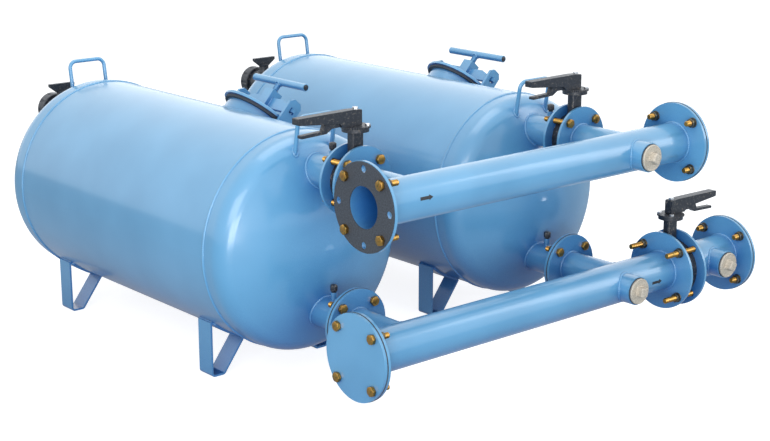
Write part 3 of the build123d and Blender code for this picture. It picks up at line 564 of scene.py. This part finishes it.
weldLook = {
    "ripple": 5.0,        # mm between the frozen waves of a bead
    "rippleHeight": 0.09,
    "wander": 0.07,
    "sectionSteps": 10,
    "branch": 3.6,        # half thicknesses of the beads
    "flange3": 3.2,
    "flange4": 3.4,
    "port": 3.4,
    "nozzle": 3.8,
    "drain": 3.4,
    "socket": 2.2,
    "neck": 4.2,
    "ear": 3.0,
    "bow": 3.2,
    "saddle": 3.4,
    "seam": 5.0,
    "bowRing": 7.0,       # radius of the ring a bow's bead follows
}


def weldBead(path, crest, size, closed=True, flat=1.0):
    # a round section carried along a path; its radius swells with each ripple and wanders slowly,
    # and each ripple is bowed, because its phase also depends on the angle round the section
    path, crest = np.asarray(path, float), np.asarray(crest, float)
    forward = (np.roll(path, -1, 0) - np.roll(path, 1, 0)) if closed else np.gradient(path, axis=0)
    forward /= np.linalg.norm(forward, axis=1)[:, None]
    crest = crest - forward * (crest * forward).sum(1)[:, None]
    crest /= np.linalg.norm(crest, axis=1)[:, None]
    across = np.cross(forward, crest)
    step = np.linalg.norm(np.diff(path, axis=0), axis=1)
    along = np.concatenate([[0], np.cumsum(step)])
    around = np.linspace(0, 2 * np.pi, weldLook["sectionSteps"], endpoint=False)[None]
    phase = 2 * np.pi * (along[:, None] + 0.35 * size * np.cos(around)) / weldLook["ripple"]
    drift = np.sin(along * 0.043 + size) + np.sin(along * 0.117 + 2.1 * size)
    radius = size * (1 + weldLook["rippleHeight"] * np.sin(phase) + weldLook["wander"] * drift[:, None] / 2)
    if not closed:
        taper = np.sqrt(np.clip(np.minimum(along, along[-1] - along) / (1.5 * size), 0.0, 1.0))
        radius = radius * taper[:, None]
    points = (path[:, None] + (radius * np.cos(around))[..., None] * crest[:, None] * flat
              + (radius * np.sin(around))[..., None] * across[:, None])
    return points.reshape(-1, 3), gridFaces(len(path), weldLook["sectionSteps"], closed, True)


def headHeight(radius):
    # how far ahead of its seam a dished head stands at a radius: crown sphere inside, knuckle ring outside
    crown, knuckle = mm["crownRadius"], mm["knuckleRadius"]
    centre = mm["tankRadius"] - knuckle
    depth = crown - math.sqrt((crown - knuckle) ** 2 - centre ** 2)
    edge = crown * centre / (crown - knuckle)
    radius = np.asarray(radius, float)
    onCrown = mm["skirt"] + depth - crown + np.sqrt(crown ** 2 - np.minimum(radius, edge) ** 2)
    onKnuckle = mm["skirt"] + np.sqrt(np.maximum(knuckle ** 2 - (radius - centre) ** 2, 0))
    return np.where(radius < edge, onCrown, onKnuckle)


def headPoint(tankX, x, z, front=True):
    # the point of a head's outside over a place in the XZ plane, and the way out of it
    radius = np.hypot(x - tankX, z - mm["tankZ"])
    height = headHeight(radius)
    slope = headHeight(radius + 0.5) - headHeight(radius - 0.5)
    sign = -1 if front else 1
    y = (mm["shellFrontY"] if front else mm["shellRearY"]) + sign * height
    out = np.stack([-slope * (x - tankX) / radius, sign + 0 * radius,
                    -slope * (z - mm["tankZ"]) / radius], -1)
    return np.stack([x, y, z], -1), out / np.linalg.norm(out, axis=-1)[..., None]


def circleAngles(length, spacing=1.0):
    return np.linspace(0, 2 * np.pi, max(24, int(length / spacing)), endpoint=False)


def stubOnHead(tankX, z, radius, size, front=True):
    # bead where a pipe parallel to the tank's axis meets its head
    a = circleAngles(2 * np.pi * radius)
    points, out = headPoint(tankX, tankX + radius * np.cos(a), z + radius * np.sin(a), front)
    radial = np.stack([np.cos(a), 0 * a, np.sin(a)], -1)
    return weldBead(points, out + radial, size)


def stubOnPipe(origin, branchRun, mainRun, branchRadius, mainRadius, sign, size):
    # bead where a branch leaves a pipe: the saddle line of two crossing cylinders
    a = circleAngles(2 * np.pi * branchRadius, 0.9)
    run = {"x": 0, "y": 1, "z": 2}
    points = np.zeros((len(a), 3))
    third = ({0, 1, 2} - {run[branchRun], run[mainRun]}).pop()
    points[:, run[mainRun]] = branchRadius * np.cos(a)
    points[:, third] = branchRadius * np.sin(a)
    points[:, run[branchRun]] = sign * np.sqrt(mainRadius ** 2 - (branchRadius * np.sin(a)) ** 2)
    fromMain = points.copy()
    fromMain[:, run[mainRun]] = 0
    fromBranch = points.copy()
    fromBranch[:, run[branchRun]] = 0
    out = fromMain / np.linalg.norm(fromMain, axis=1)[:, None] + fromBranch / branchRadius
    return weldBead(points + np.asarray(origin, float), out, size)


def pipeOnFlange(face, run, radius, sign, size):
    # bead round a pipe where it leaves a flange's back
    a = circleAngles(2 * np.pi * radius)
    ring = np.stack([radius * np.cos(a), radius * np.sin(a), 0 * a], -1)
    out = np.stack([np.cos(a), np.sin(a), 0 * a + sign], -1)
    return weldBead(ring @ facings[run] + np.asarray(face, float), out @ facings[run], size)


def makeManifoldWelds(look):
    t, g = mm["flangeThickness"], mm["gasket"]
    p3, p4 = mm["pipe3Radius"], mm["pipe4Radius"]
    low = (mm["lowerY"], mm["lowerZ"])
    upper, lower = [], []
    for x in mm["tankX"].values():
        for group, y, z in ((upper, 0, 0), (lower, *low)):
            group.append(stubOnPipe((x, y, z), "y", "x", p3, p4, 1, look["branch"]))
            group.append(pipeOnFlange((x, y + mm["branchLength"], z), "y", p3, -1, look["flange3"]))
    for group, y, z in ((upper, 0, 0), (lower, *low)):
        group.append(stubOnPipe((mm["portX"], y, z), "y", "x", mm["portRadius"], p4, -1, look["port"]))
        group.append(pipeOnFlange((g + t, y, z), "x", p4, 1, look["flange4"]))
        group.append(pipeOnFlange((mm["manifoldEndX"] - t, y, z), "x", p4, -1, look["flange4"]))
    spool = [
        pipeOnFlange((mm["spoolStartX"] + t, *low), "x", p4, 1, look["flange4"]),
        pipeOnFlange((mm["spoolEndX"] - t, *low), "x", p4, -1, look["flange4"]),
        stubOnPipe((mm["spoolPortX"], *low), "y", "x", mm["portRadius"], p4, -1, look["port"]),
    ]
    makePiece("upperManifoldWelds", upper, enamel, sharpAngle=60)
    makePiece("lowerManifoldWelds", lower, enamel, sharpAngle=60)
    makePiece("spoolWelds", spool, enamel, sharpAngle=60)


def manholeAxes():
    # local x along the tank, y down the slope and z out of the manhole
    c, s = math.cos(math.radians(mm["manholeTilt"])), math.sin(math.radians(mm["manholeTilt"]))
    return np.array([[0, 1, 0], [-c, 0, s], [s, 0, c]], float)


def onShell(localX, localY):
    # points of the shell over the manhole's local plane, and the shell's outward way, both local
    height = np.sqrt(mm["tankRadius"] ** 2 - localY ** 2)
    points = np.stack([localX, localY, height], -1)
    return points, np.stack([0 * localX, localY, height], -1) / mm["tankRadius"]


def roundedRectangle(halfX, halfY, corner):
    # points a millimetre apart round a rectangle whose corners are arcs
    path = []
    for turn, (sideX, sideY) in enumerate(((1, 1), (-1, 1), (-1, -1), (1, -1))):
        a = np.radians(np.linspace(90 * turn, 90 * turn + 90, 8))
        path.append(np.stack([sideX * (halfX - corner) + corner * np.cos(a),
                              sideY * (halfY - corner) + corner * np.sin(a)], -1))
    path = np.vstack(path + [path[0][:1]])
    along = np.concatenate([[0], np.cumsum(np.linalg.norm(np.diff(path, axis=0), axis=1))])
    even = np.linspace(0, along[-1], int(along[-1]), endpoint=False)
    return np.interp(even, along, path[:, 0]), np.interp(even, along, path[:, 1])


def manholeWelds(x, look):
    # beads round the neck and round both ear plates, laid on the shell
    origin, axes = (x, mm["manholeY"], mm["tankZ"]), manholeAxes()
    a = circleAngles(2 * np.pi * mm["neckRadius"], 1.2)
    points, out = onShell(mm["neckRadius"] * np.cos(a), mm["neckRadius"] * np.sin(a))
    side = np.stack([np.cos(a), np.sin(a), 0 * a], -1)
    beads = [placed(weldBead(points, out + side, look["neck"]), origin, axes)]
    halfX, halfY = mm["earHalfThickness"], mm["earHalfWidth"]
    localX, localY = roundedRectangle(halfX, halfY, 2.0)
    side = np.stack([localX / halfX, localY / halfY, 0 * localX], -1)
    for spread in (-mm["earSpread"], mm["earSpread"]):
        points, out = onShell(localX + spread, localY)
        beads.append(placed(weldBead(points, out + 0.7 * side, look["ear"]), origin, axes))
    return beads


def bowFootWelds(x, look):
    # beads where the lifting bows' round rods go into the heads, found by sliding along the rod
    beads = []
    lean = math.radians(mm["bowLean"])
    for front, sign in ((True, -1), (False, 1)):
        bowY = mm["shellFrontY"] - mm["bowInset"] if front else mm["shellRearY"] + mm["bowInset"]
        rise = np.array([0, sign * math.sin(lean), math.cos(lean)])
        aside = np.array([0, math.cos(lean), -sign * math.sin(lean)])
        a = circleAngles(2 * np.pi * look["bowRing"], 0.8)
        ring = np.cos(a)[:, None] * np.array([1.0, 0, 0]) + np.sin(a)[:, None] * aside
        for half in (-mm["bowHalf"], mm["bowHalf"]):
            base = np.array([x + half, bowY, mm["tankZ"] + mm["bowFoot"]]) + look["bowRing"] * ring
            low, high = np.full(len(a), -120.0), np.full(len(a), 90.0)
            for _ in range(24):
                middle = (low + high) / 2
                point = base + middle[:, None] * rise
                surface, out = headPoint(x, point[:, 0], point[:, 2], front)
                reach = np.hypot(point[:, 0] - x, point[:, 2] - mm["tankZ"])
                inside = (sign * (surface[:, 1] - point[:, 1]) > 0) & (reach < mm["tankRadius"])
                low, high = np.where(inside, middle, low), np.where(inside, high, middle)
            beads.append(weldBead(base + middle[:, None] * rise, out + 1.2 * ring, look["bow"]))
    return beads


def saddleWelds(x, look):
    # short beads along both edges of each leg's saddle, on both sides of the tank
    a = np.radians(np.linspace(*mm["saddleArc"], 110))
    beads = []
    for legY in mm["legRows"]:
        for side in (-1, 1):
            out = np.stack([side * np.cos(a), 0 * a, np.sin(a)], -1)
            for edge in (-1, 1):
                foot = np.array([x, legY + edge * mm["saddleHalfWidth"], mm["tankZ"]])
                path = out * (mm["tankRadius"] + 0.8) + foot
                crest = out + np.array([0, edge, 0])
                beads.append(weldBead(path, crest, look["saddle"], closed=False))
    return beads


def makeTankWelds(tank, x, look):
    beads = []
    a = circleAngles(2 * np.pi * mm["tankRadius"], 1.4)
    ring = np.stack([np.cos(a), 0 * a, np.sin(a)], -1)
    for y in (mm["shellFrontY"], mm["shellRearY"]):
        path = ring * (mm["tankRadius"] - 1.0) + np.array([x, y, mm["tankZ"]])
        beads.append(weldBead(path, ring, look["seam"], flat=0.9))
    p3, t = mm["pipe3Radius"], mm["flangeThickness"]
    beads.append(stubOnHead(x, 0.0, p3, look["nozzle"]))
    beads.append(stubOnHead(x, mm["lowerZ"], p3, look["nozzle"]))
    beads.append(stubOnHead(x, mm["drainZ"], mm["stubRadius"], look["drain"], front=False))
    for y, z in ((mm["upperNozzleY"], 0.0), (mm["lowerNozzleY"], mm["lowerZ"])):
        socket = (x, mm["testPlugY"], z)
        beads.append(pipeOnFlange((x, y + t, z), "y", p3, 1, look["flange3"]))
        beads.append(stubOnPipe(socket, "z", "y", mm["testSocketRadius"], p3, 1, look["socket"]))
    beads += manholeWelds(x, look) + bowFootWelds(x, look) + saddleWelds(x, look)
    makePiece(tank + "Welds", beads, enamel, sharpAngle=60)


makeManifoldWelds(weldLook)
for tankName, tankX in mm["tankX"].items():
    makeTankWelds(tankName, tankX, weldLook)
print("weld beads laid")


screwLook = {
    "radius": 10.0,
    "pitch": 4.0,
    "threadDepth": 2.2,
    "tubeRadius": 11.0,
    "tubeBore": 9.0,
    "edge": 0.8,
    "bead": 2.4,
    "capLength": 5.0,
    "capDome": 2.0,
}


def makeClampScrew(tank, x, look):
    # coarse clamp screw with its tube handle welded on top, and a black plug in the tube's near end
    origin, axes = np.array([x, mm["manholeY"], mm["tankZ"]]), manholeAxes()
    tubeAxes = np.array([axes[1], axes[2], axes[0]])
    top = origin + axes[2] * mm["tubeHeight"]
    r, bore, e, half = look["tubeRadius"], look["tubeBore"], look["edge"], mm["tubeHalf"]
    screw = threadedBar(look["radius"], look["pitch"], look["threadDepth"],
                        mm["screwTip"] + 0.1, mm["tubeHeight"] - r + 2, 32)
    tube = lathe([bore, bore, r - e, r, r, r - e, bore, bore],
                 [0, -half, -half, e - half, half - e, half, half, 0], 40)
    a = circleAngles(2 * np.pi * look["radius"], 0.8)
    reach = look["radius"] * np.sin(a)
    path = np.stack([look["radius"] * np.cos(a), reach, mm["tubeHeight"] - np.sqrt(r ** 2 - reach ** 2)], -1)
    bead = weldBead(path, np.stack([np.cos(a), np.sin(a), 0 * a - 1], -1), look["bead"])
    surfaces = [placed(screw, origin, axes), placed(tube, top, tubeAxes), placed(bead, origin, axes)]
    body = tank + "_lid_screw"
    makePiece(tank + "ClampScrew", surfaces, enamel, body, (body,))
    dome, length = look["capDome"], look["capLength"]
    cap = lathe([0, bore * 0.5, bore - 0.6, bore - 0.1, bore - 0.1, 0],
                [-dome, -dome * 0.8, -0.8, 0.4, length, length], 32)
    makePiece(tank + "TubePlug", [placed(cap, top - axes[0] * (half - 0.6), tubeAxes)], nylon, body)


bossLook = {"bead": 2.6, "barHalf": 6.0, "beadFoot": 2.0, "beadTop": 33.0}


def makeBridgeWelds(tank, x, look):
    # upright beads in the four corners between the square boss and the cross bar
    origin, axes = (x, mm["manholeY"], mm["tankZ"]), manholeAxes()
    height = mm["bridgeBottom"] + np.linspace(look["beadFoot"], look["beadTop"], 40)
    level = 0 * height
    beads = []
    for side in (-1, 1):
        for along in (-1, 1):
            path = np.stack([level + along * mm["bossHalf"], level + side * look["barHalf"], height], -1)
            crest = np.stack([level + along, level + side, level], -1)
            beads.append(placed(weldBead(path, crest, look["bead"], closed=False), origin, axes))
    makePiece(tank + "BridgeWelds", beads, enamel, sharpAngle=60)


for tankName, tankX in mm["tankX"].items():
    makeClampScrew(tankName, tankX, screwLook)
    makeBridgeWelds(tankName, tankX, bossLook)
print("clamp screws made")


plugLook = {
    "radius": 37.0,
    "squareHalf": 14.0,
    "squareTaper": 1.0,
    "height": 27.0,
    "collar": 9.0,
    "sealHeight": 2.6,
    "sealRadius": 38.4,
    "rough": 0.5,
    "sandSize": 7.0,
    "warp": 0.012,
    "turns": (32, 6, 28),
    "seed": 5,
}


def lumps(points, size, seed):
    # smooth seeded unevenness: a sum of twelve plane waves in random directions
    chance = np.random.default_rng(seed)
    total = 0
    for _ in range(12):
        way = chance.normal(size=3)
        way *= 2 * np.pi / (size * np.linalg.norm(way)) * chance.uniform(0.6, 1.6)
        total = total + np.sin(points @ way + chance.uniform(0, 6.28))
    return total / 12


def squareRadius(angle, half, power):
    # radius of a square with softened corners, a superellipse of high power
    return half / (np.abs(np.cos(angle)) ** power + np.abs(np.sin(angle)) ** power) ** (1 / power)


def castPlug(look, turn, seed):
    # round collar with a raised rim, then a tapered square head with soft corners, along local z
    steps = 96
    angle = turnedAngles(steps)
    turned = angle + math.radians(turn)
    r, c, top, seal = look["radius"], look["collar"], look["height"], look["sealHeight"]
    collar = [(r - 9.0, seal - 1.0), (r - 0.8, seal), (r, seal + 0.8), (r, c - 1.6),
              (r - 0.5, c - 0.6), (r - 1.6, c), (r - 4.0, c), (r - 5.0, c - 0.7)]
    collar += [(17.5 + (r - 22.8) * share, c - 0.7) for share in np.linspace(1.0, 0.0, 10)]
    rows = [(0 * angle + radius, height) for radius, height in collar]
    half, taper = look["squareHalf"], look["squareTaper"]
    rows += [(squareRadius(turned, half + 1.0, 7) + 0.9, c - 0.7), (squareRadius(turned, half, 7), c + 0.6)]
    for share in np.linspace(0.1, 1.0, 8):
        rows.append((squareRadius(turned, half - taper * share, 7), c + (top - c - 1.4) * share))
    tip = squareRadius(turned, half - taper - 1.5, 6)
    rows.append((squareRadius(turned, half - taper - 0.5, 6), top - 0.5))
    rows += [(tip * share, top) for share in (1.0, 0.7, 0.4, 0.0)]
    radius = np.array([row[0] for row in rows])
    points, faces = ringSurface(radius, angle, np.array([row[1] for row in rows])[:, None])
    points[:, 2] += look["rough"] * lumps(points, look["sandSize"], seed) * (points[:, 2] > c - 1.5)
    points[:, :2] *= (1 + look["warp"] * lumps(points, look["sandSize"] + 2, seed + 1))[:, None]
    points[-steps:] = [0, 0, points[-steps:, 2].mean()]
    return points, faces


def makePortPlugs(look):
    plugs, seals = [], []
    low = (mm["lowerY"], mm["lowerZ"])
    ports = ((mm["portX"], 0.0, 0.0), (mm["portX"], *low), (mm["spoolPortX"], *low))
    axes = np.array([[1, 0, 0], [0, 0, 1], [0, -1, 0]], float)
    bore, wide, thick = look["radius"] - 8, look["sealRadius"], look["sealHeight"]
    for number, (x, y, z) in enumerate(ports):
        face = (x, y - mm["portFace"], z)
        plug = castPlug(look, look["turns"][number], look["seed"] + 2 * number)
        plugs.append(placed(plug, face, axes))
        ring = lathe([bore, wide - 0.8, wide, wide, wide - 0.8, bore],
                     [0, 0, 0.6, thick - 0.6, thick, thick], 64)
        seals.append(placed(ring, face, axes))
    makePiece("castPlugs", plugs, casting, replaced=("port_plugs",), sharpAngle=50)
    makePiece("plugSeals", seals, rubber)


makePortPlugs(plugLook)
print("port plugs cast")


knobLook = {"radius": 10.4, "lobes": 6, "lobeDepth": 1.5, "height": 21.6, "dome": 4.0}


def knobSurface(look):
    # a lobed grip: the radius waves round the axis, and the wave dies out at the dome and the foot
    angle = turnedAngles(72)
    top, dome = look["height"], look["dome"]
    # height, share of the radius and share of the wave
    rows = [(0, 0, 0), (0, 0.62, 0), (2, 0.62, 0), (3, 0.8, 0.3), (4, 0.96, 0.8), (8, 1, 1),
            (12, 1, 1), (top - dome, 1, 1), (top - 0.55 * dome, 0.9, 0.8),
            (top - 0.2 * dome, 0.68, 0.4), (top, 0.4, 0.1), (top, 0, 0)]
    height, share, wave = [np.array(column, float)[:, None] for column in zip(*rows)]
    lobe = look["lobeDepth"] * (0.5 - 0.5 * np.cos(look["lobes"] * angle))
    radius = share * look["radius"] - wave * lobe
    return ringSurface(radius, angle, height)


def makeTestKnobs(look):
    knobs = []
    for x in mm["tankX"].values():
        for z in (0.0, mm["lowerZ"]):
            socketTop = (x, mm["testPlugY"], z + mm["testSocketTop"])
            knobs.append(placed(knobSurface(look), socketTop, facings["z"]))
    makePiece("testKnobs", knobs, nylon, replaced=("test_plugs",), sharpAngle=45)


makeTestKnobs(knobLook)


drainLook = {
    "nutRadius": 52.0,
    "bodyRadius": 42.0,
    "halfLength": 75.0,
    "nutLength": 40.0,
    "flutes": 10,
    "fluteDepth": 3.6,
    "bore": 24.0,
    "socketRadius": 30.3,
    "socketDepth": 36.0,
    "neckRadius": 17.0,
    "neckBore": 8.0,
    "neckFoot": 36.0,
    "neckTop": 61.9,
}


def drainSurface(look):
    # profile from the bore round the outside and back; the ring nuts' radius is scalloped by flutes
    h, n, r, b = look["halfLength"], look["nutLength"], look["nutRadius"], look["bodyRadius"]
    bore, socket, stop = look["bore"], look["socketRadius"], look["halfLength"] - look["socketDepth"]
    # radius, height and share of the flutes
    rows = [(bore, 0, 0), (bore, -h, 0), (r - 4, -h, 0), (r - 1.2, -h + 1.2, 0), (r, -h + 4, 0),
            (r, -h + 7, 1), (r, -h + n - 7, 1), (r, -h + n - 4, 0), (r - 1.5, -h + n - 1, 0),
            (b, -h + n, 0), (b + 1.5, -h + n + 6, 0), (b + 2.2, 0, 0), (b + 1.5, h - n - 6, 0),
            (b, h - n, 0), (r - 1.5, h - n + 1, 0), (r, h - n + 4, 0), (r, h - n + 7, 1),
            (r, h - 7, 1), (r, h - 4, 0), (r - 1.2, h - 1.2, 0), (r - 4, h, 0), (socket, h, 0),
            (socket, stop, 0), (bore, stop, 0), (bore, 0, 0)]
    angle = turnedAngles(160)
    radius, height, wave = [np.array(column, float)[:, None] for column in zip(*rows)]
    flute = np.clip(np.cos(look["flutes"] * angle) * 1.6 - 0.6, 0, 1)
    radius = radius - look["fluteDepth"] * wave * flute
    return ringSurface(radius, angle, height)


def makeDrainBody(tank, x, look):
    middle = (x, mm["drainMiddleY"], mm["drainZ"])
    r, bore, foot, top = look["neckRadius"], look["neckBore"], look["neckFoot"], look["neckTop"]
    neck = lathe([bore, bore, r - 1, r, r, r + 3, bore],
                 [foot, top, top, top - 1, foot + 10, foot + 5, foot], 48)
    surfaces = [placed(drainSurface(look), middle, facings["y"]), placed(neck, middle, facings["z"])]
    makePiece(tank + "DrainBody", surfaces, nylon, replaced=(tank + "_drain_body",))


for tankName, tankX in mm["tankX"].items():
    makeDrainBody(tankName, tankX, drainLook)
print("drain valves made")


gasketLook = {"proud": 0.9, "band": 6.0, "edge": 0.5}


def makeGasketRims(look):
    # the sheet's cut edge, squeezed out a little past the flanges that clamp it
    g, low, wide = mm["gasket"], (mm["lowerY"], mm["lowerZ"]), mm["flange4Radius"]
    places = [((0, *low), "x", wide), ((mm["manifoldEndX"], 0, 0), "x", wide),
              ((mm["spoolEndX"], *low), "x", wide)]
    for x in mm["tankX"].values():
        places.append(((x, mm["lowerNozzleY"] - g, mm["lowerZ"]), "y", mm["flange3Radius"]))
    rims = []
    for face, run, radius in places:
        inner, outer, e = radius - look["band"], radius + look["proud"], look["edge"]
        rim = lathe([inner, outer - e, outer, outer, outer - e, inner, inner],
                    [0, 0, e, g - e, g, g, 0], 96)
        rims.append(placed(rim, face, facings[run]))
    makePiece("gasketRims", rims, rubber)


makeGasketRims(gasketLook)
print("gasket rims made")


plateBoltLook = {
    "halfFlat": 6.0,
    "height": 5.0,
    "sunk": 1.0,
    "circle": 31.5,
    "stemHalfFlat": 7.0,
    "stemHeight": 5.5,
    "leverTop": 42.1,
}


def makeValveScrews(valve, middle, plateTop, way, look):
    # plated screws in the notch plate outside the lever's sweep, and one on the lever over the stem
    screws = []
    x, y, z = middle
    head = hexagonBlock(look["halfFlat"], -look["sunk"], look["height"])
    for turn in (45, 135, 315) if way < 0 else (45, 135, 225):
        a = math.radians(turn)
        place = (x + look["circle"] * math.cos(a), y + look["circle"] * math.sin(a), z + plateTop)
        screws.append(placed(head, place, facings["z"]))
    makePiece(valve + "PlateScrews", screws, steel)
    cap = hexagonBlock(look["stemHalfFlat"], -look["sunk"], look["stemHeight"])
    top = (x, y, z + plateTop + look["leverTop"])
    makePiece(valve + "StemScrew", [placed(cap, top, facings["z"])], steel, valve + "_lever")


valve3Y = mm["branchLength"] + mm["flangeThickness"] + mm["valve3Width"] / 2
outletMiddle = (mm["manifoldEndX"] + mm["valve4Width"] / 2, mm["lowerY"], mm["lowerZ"])
for tankName, tankX in mm["tankX"].items():
    valveMiddle = (tankX, valve3Y, 0.0)
    makeValveScrews(tankName + "_valve", valveMiddle, mm["notchPlateTop3"], -1, plateBoltLook)
makeValveScrews("outlet_valve", outletMiddle, mm["notchPlateTop4"], 1, plateBoltLook)
print("valve screws made")


arrowLook = {
    "length": 42.0,
    "shaft": 4.2,
    "head": 7.5,
    "headLength": 13.0,
    "tip": 0.02,
    "lift": 0.25,
    "upperStart": 134.0,
    "upperTurn": 10.0,
    "lowerStart": 1052.0,
    "lowerTurn": -7.0,
}


def flowArrow(startX, centreY, centreZ, turn, look):
    # an arrow's half width over its length, wrapped round the pipe a hair above its paint
    shoulder = look["length"] - look["headLength"]
    along = np.array([0, 0.999 * shoulder, shoulder, look["length"]])[:, None]
    half = np.array([look["shaft"], look["shaft"], look["head"], look["tip"]])
    across = np.linspace(-1, 1, 7)[None]
    radius = mm["pipe4Radius"] + look["lift"]
    angle = math.radians(turn) + half[:, None] * across / radius
    points = np.stack([startX + along + 0 * across, centreY - radius * np.cos(angle),
                       centreZ + radius * np.sin(angle)], -1)
    return points.reshape(-1, 3), gridFaces(4, 7)


def makeArrows(look):
    arrows = [
        flowArrow(look["upperStart"], 0, 0, look["upperTurn"], look),
        flowArrow(look["lowerStart"], mm["lowerY"], mm["lowerZ"], look["lowerTurn"], look),
    ]
    makePiece("flowArrows", arrows, ink)


makeArrows(arrowLook)
print("arrows painted")


studioLook = {
    "floorHalf": 40.0,
    "paper": "#C4C6C8",
    "paperGlow": 0.85,
    "bounce": "#93AABD",    # what the undersides get back from the sweep
    "mirroredShare": 0.3,   # how much of the sweep's glow the paint mirrors
    "room": "#F2F6FA",
    "roomLevel": 0.52,
    "tent": "#F4F8FC",      # the tent of diffusers that gloss paint mirrors
    "tentLevel": 1.7,
    "target": (0.6, 0.7, -0.2),
    # place, width, height and power of each softbox
    "lamps": {
        "keySoftbox": ((-3.4, -2.4, 2.2), 3.0, 2.4, 95.0),
        "sideStrip": ((3.6, -2.0, 1.6), 0.8, 2.6, 24.0),
        "fillSoftbox": ((-2.6, -3.8, 0.2), 3.0, 1.6, 130.0),
        "topSoftbox": ((0.6, 1.0, 3.4), 2.4, 2.4, 45.0),
    },
}


def areaLamp(name, place, target, width, height, power):
    lamp = bpy.data.lights.new(name, "AREA")
    lamp.shape = "RECTANGLE"
    lamp.size, lamp.size_y = width, height
    lamp.energy = power
    holder = bpy.data.objects.new(name, lamp)
    holder.location = place
    holder.rotation_euler = (Vector(target) - Vector(place)).to_track_quat("-Z", "Y").to_euler()
    bpy.context.scene.collection.objects.link(holder)


def makeSweep(look):
    # a wide white paper floor: it shows white, yet takes the filter's shadow and sends back less light
    half, z = look["floorHalf"], mm["floorZ"] / 1000
    corners = [(-half, -half, z), (half, -half, z), (half, half, z), (-half, half, z)]
    mesh = bpy.data.meshes.new("floor")
    mesh.from_pydata(corners, [], [(0, 1, 2, 3)])
    floor = bpy.data.objects.new("floor", mesh)
    bpy.context.scene.collection.objects.link(floor)
    material, tree, _ = startMaterial("paperSweep")
    rays = addNode(tree, "ShaderNodeLightPath")
    mirrored = addNode(tree, "ShaderNodeMath", {"operation": "MULTIPLY"}, {
        0: rays.outputs["Is Glossy Ray"], 1: look["mirroredShare"]})
    seen = addNode(tree, "ShaderNodeMath", {"operation": "MAXIMUM"}, {
        0: rays.outputs["Is Camera Ray"], 1: mirrored.outputs[0]})
    seen = addNode(tree, "ShaderNodeMath", {"operation": "MAXIMUM"}, {
        0: seen.outputs[0], 1: rays.outputs["Is Transmission Ray"]})
    paper = addNode(tree, "ShaderNodeBsdfDiffuse", inputs={"Color": toLinear(look["paper"])})
    glow = addNode(tree, "ShaderNodeEmission", inputs={
        "Color": toLinear("#FFFFFF"), "Strength": look["paperGlow"]})
    shown = addNode(tree, "ShaderNodeAddShader", inputs={0: paper.outputs[0], 1: glow.outputs[0]})
    bounce = addNode(tree, "ShaderNodeBsdfDiffuse", inputs={"Color": toLinear(look["bounce"])})
    mixed = addNode(tree, "ShaderNodeMixShader", inputs={
        0: seen.outputs[0], 1: bounce.outputs[0], 2: shown.outputs[0]})
    addNode(tree, "ShaderNodeOutputMaterial", inputs={"Surface": mixed.outputs[0]})
    mesh.materials.append(material)


def makeRoom(look):
    # the world: white to the camera, a bright tent in gloss, and a soft room for the rest
    world = bpy.data.worlds.new("softRoom")
    bpy.context.scene.world = world
    world.use_nodes = True
    tree = world.node_tree
    tree.nodes.clear()
    rays = addNode(tree, "ShaderNodeLightPath")
    white = addNode(tree, "ShaderNodeBackground", inputs={"Color": toLinear("#FFFFFF"), "Strength": 1.0})
    room = addNode(tree, "ShaderNodeBackground", inputs={
        "Color": toLinear(look["room"]), "Strength": look["roomLevel"]})
    tent = addNode(tree, "ShaderNodeBackground", inputs={
        "Color": toLinear(look["tent"]), "Strength": look["tentLevel"]})
    lit = addNode(tree, "ShaderNodeMixShader", inputs={
        0: rays.outputs["Is Glossy Ray"], 1: room.outputs[0], 2: tent.outputs[0]})
    mixed = addNode(tree, "ShaderNodeMixShader", inputs={
        0: rays.outputs["Is Camera Ray"], 1: lit.outputs[0], 2: white.outputs[0]})
    addNode(tree, "ShaderNodeOutputWorld", inputs={"Surface": mixed.outputs[0]})


def makeStudio(look):
    makeSweep(look)
    makeRoom(look)
    for name, (place, width, height, power) in look["lamps"].items():
        areaLamp(name, place, look["target"], width, height, power)


cameraLook = {
    "azimuth": -40.56,
    "elevation": 14.94,
    "place": (-2.3329, -2.8060, 0.9418),
    "focalPixels": 1568.4,
    "imageWidth": 770,
    "sensor": 36.0,
}


def makeCamera(look):
    camera = bpy.data.cameras.new("photoCamera")
    camera.sensor_width = look["sensor"]
    camera.lens = look["sensor"] * look["focalPixels"] / look["imageWidth"]
    camera.clip_start, camera.clip_end = 0.05, 200
    a, e = math.radians(look["azimuth"]), math.radians(look["elevation"])
    back = Vector((math.sin(a) * math.cos(e), -math.cos(a) * math.cos(e), math.sin(e)))
    holder = bpy.data.objects.new("photoCamera", camera)
    holder.location = look["place"]
    holder.rotation_mode = "QUATERNION"
    holder.rotation_quaternion = (-back).to_track_quat("-Z", "Y")
    bpy.context.scene.collection.objects.link(holder)
    bpy.context.scene.camera = holder


makeStudio(studioLook)
makeCamera(cameraLook)
bpy.context.scene.view_settings.view_transform = "Standard"
print("studio lit")
